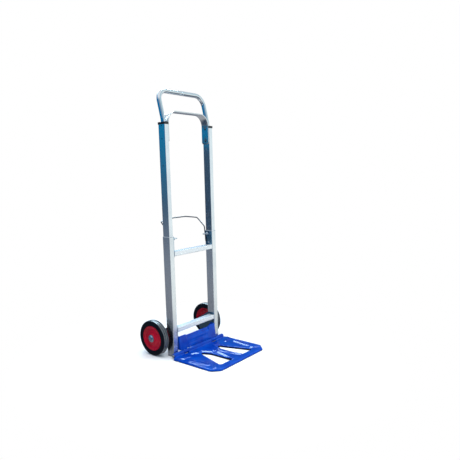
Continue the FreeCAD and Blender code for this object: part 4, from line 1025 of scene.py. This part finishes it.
def fastener(name, section, hexagon=0):
    """A fastener turned about Z from (radius, height), its seat at zero.

    Its last rings are six-sided, as many as hexagon says, for a key's socket.
    """
    bm = bmesh.new()
    count = 24
    rings = []
    for index, (radius, height) in enumerate(section):
        ring = []
        for step in range(count):
            angle = 2 * math.pi * step / count
            reach = radius
            if hexagon and index >= len(section) - hexagon:
                sector = (angle + math.pi / 6) % (math.pi / 3) - math.pi / 6
                reach = radius / math.cos(sector)
            ring.append(bm.verts.new((reach * math.cos(angle) * MM,
                                      reach * math.sin(angle) * MM, height * MM)))
        rings.append(ring)
    skin(bm, rings)
    bm.faces.new(rings[0])
    bm.faces.new(list(reversed(rings[-1])))
    return bpy.data.objects.new(name, mesh_from(bm, name))


def fasteners(node, body, finish, groups):
    """All the fasteners of one node: groups of (head object, seats), seat = (place, outward)."""
    parts = bmesh.new()
    for head, seats in groups:
        mesh = bpy.data.meshes.new(node)
        mesh.from_pydata([[part * MM for part in place] for place, _ in seats], [], [])
        layer = mesh.attributes.new("outward", "FLOAT_VECTOR", "POINT")
        layer.data.foreach_set("vector", [part for _, outward in seats for part in outward])
        made = grown(node + "_seats", mesh, HEAD_TREE, {
            "Fastener": head, "Scale": 1.0, "Material": FINISHES[finish]})
        parts.from_mesh(made)
    place_mesh(node + "_heads", mesh_from(parts, node, False), body, [node], [finish], 40)


def handle():
    """The chrome handle: two legs out of the mast, a lean to the back and the top bar."""
    low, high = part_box("chrome_handle")
    radius = 9.3
    leg_x, leg_y = high.x / MM - radius, low.y / MM + radius
    top_y, top_z = high.y / MM - radius, high.z / MM - radius
    lean = math.radians(13)
    knee_z = top_z - (top_y - leg_y) / math.tan(lean)
    right = [(leg_x, leg_y, low.z / MM), (leg_x, leg_y, knee_z), (leg_x, top_y, top_z)]
    left = [(-x, y, z) for x, y, z in reversed(right)]
    rod("handle_tube", right + left, (0, 60, 44, 44, 60, 0), radius, "mast", "chrome_handle",
        "bright_chrome", 48, 18)


def bail():
    """The bent wire behind the mast that pulls both lock pins."""
    low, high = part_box("release_bail")
    radius = 2.5
    pivot_y, pivot_z = low.y / MM + radius, low.z / MM + radius
    end_x = high.x / MM
    leg_x = 114.5
    right = [(end_x, pivot_y, pivot_z), (leg_x, pivot_y, pivot_z),
             (leg_x, pivot_y + 6, pivot_z + 67), (leg_x - 2, pivot_y + 46, pivot_z + 105),
             (leg_x / 3, pivot_y + 46, pivot_z + 115)]
    left = [(-x, y, z) for x, y, z in reversed(right)]
    bends = (0, 2.9, 18, 9, 72, 72, 9, 18, 2.9, 0)
    rod("bail_wire", right + left, bends, radius, "release_bail", "release_bail", "bail_wire",
        24, 10)


def hinge_and_axle():
    """The hinge rod and the axle, as straight round bars with flat ends."""
    for node, radius, finish in (("hinge_rod", 4, "zinc_plate"), ("axle", 6, "zinc_plate")):
        low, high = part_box(node)
        y, z = (low.y + high.y) / 2 / MM, (low.z + high.z) / 2 / MM
        reach = high.x / MM
        rod(f"{node}_bar", [(-reach, y, z), (reach, y, z)], (0, 0), radius, "frame", node,
            finish, 40)


DOME = ((2.4, -2.0), (2.4, 0.0), (4.4, 0.0), (4.35, 0.45), (3.9, 0.95), (3.0, 1.35), (1.8, 1.55),
        (0.6, 1.6))
LOW_DOME = ((2.4, -2.0), (2.4, 0.0), (4.4, 0.0), (4.3, 0.3), (3.6, 0.55), (2.2, 0.75),
            (0.6, 0.8))
FLUSH = ((2.35, -1.2), (2.35, 0.02), (2.2, 0.09), (1.2, 0.1), (0.4, 0.1))
BOLT = ((3.0, -2.0), (3.0, 0.0), (5.5, 0.0), (5.5, 0.5), (5.2, 1.2), (4.5, 1.9), (3.5, 2.3),
        (2.6, 2.4), (2.0, 2.4), (1.95, 2.2), (1.95, 0.8), (0.5, 0.7))


def rivets_and_bolts():
    """Every visible fastener head, in its place on the tubes, plates and bars."""
    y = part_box("latch_rivets")
    middle_y = (y[0].y + y[1].y) / 2 / MM
    dome, low_dome = fastener("dome", DOME), fastener("low_dome", LOW_DOME)
    flush, bolt = fastener("flush", FLUSH), fastener("bolt", BOLT, 3)
    arch = [(z, side) for z in (883, 933) for side in (-1, 1)]
    fasteners("arch_rivets", "mast", "bail_wire", (
        (low_dome, [((side * 117.4, middle_y, z), (-side, 0, 0)) for z, side in arch]),
        (flush, [((side * 143.2, middle_y, z), (side, 0, 0)) for z, side in arch])))
    fasteners("handle_rivets", "mast", "bail_wire", (
        (flush, [((side * 143.2, middle_y, 780), (side, 0, 0)) for side in (-1, 1)]),))
    fasteners("latch_rivets", "frame", "zinc_plate", (
        (dome, [((side * 117.6, middle_y, 449), (-side, 0, 0)) for side in (-1, 1)]),))
    fasteners("crossbar_rivets", "frame", "zinc_plate", (
        (dome, [((side * x, 68.5, z), (0, 1, 0))
                for x, z in ((110.6, 429.2), (109.6, 110.2)) for side in (-1, 1)]),))
    fasteners("bracket_bolts", "frame", "zinc_plate", (
        (bolt, [((side * x, middle_y, z), (-side, 0, 0))
                for x, z in ((114.1, 60), (116.6, 95)) for side in (-1, 1)]),))


# ---------------------------------------------------------------- caps, plates and brackets

def lock_springs():
    """The lock pins' springs, copied from the CAD coils and fixed on the frame."""
    for name, side in SIDES:
        node, joint = f"lock_spring_{name}", f"{name}_pin_pull"
        bm = bmesh.new()
        bm.from_mesh(frame["nodes"][node].data)
        bmesh.ops.remove_doubles(bm, verts=bm.verts, dist=0.01 * MM)
        spring = place_mesh(f"{node}_coil", mesh_from(bm, node, False), "frame", [node],
                            ["zinc_plate"])
        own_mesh(spring)


EASED = (
    # part, body, finish, width of the eased edge; one at each side
    ("top_cap", "mast", "black_plastic", 1.2), ("foot_cap", "frame", "black_plastic", 0.6),
    # the latch plates' blue finish is a painted reflection
    ("tube_collar", "frame", "grey_plastic", 0.5), ("latch_plate", "frame", "latch_painted_reflection", 0.5),
    ("lock_barrel", "frame", "zinc_plate", 0.6), ("wheel_bracket", "frame", "bracket_steel", 0.6),
    ("axle_spacer", "frame", "zinc_plate", 0.5),
)


def small_parts():
    """The moulded and folded parts, with their edges eased."""
    for name, _ in SIDES:
        for part, body, finish, width in EASED:
            softened(f"{part}_{name}", body, finish, width)
    softened("carrying_arch", "mast", "arch_metal", 0.7)
    softened("hinge_rod_caps", "frame", "zinc_plate", 0.5)


set_camera()
set_lights()
floor()
dark_card()
paint_cad_nodes()
ROD_TREE = bent_rod_tree()
HEAD_TREE = seated_heads_tree()
toe_plate()
hinge_panel()
wheels()
handle()
bail()
hinge_and_axle()
rivets_and_bolts()
small_parts()
lock_springs()
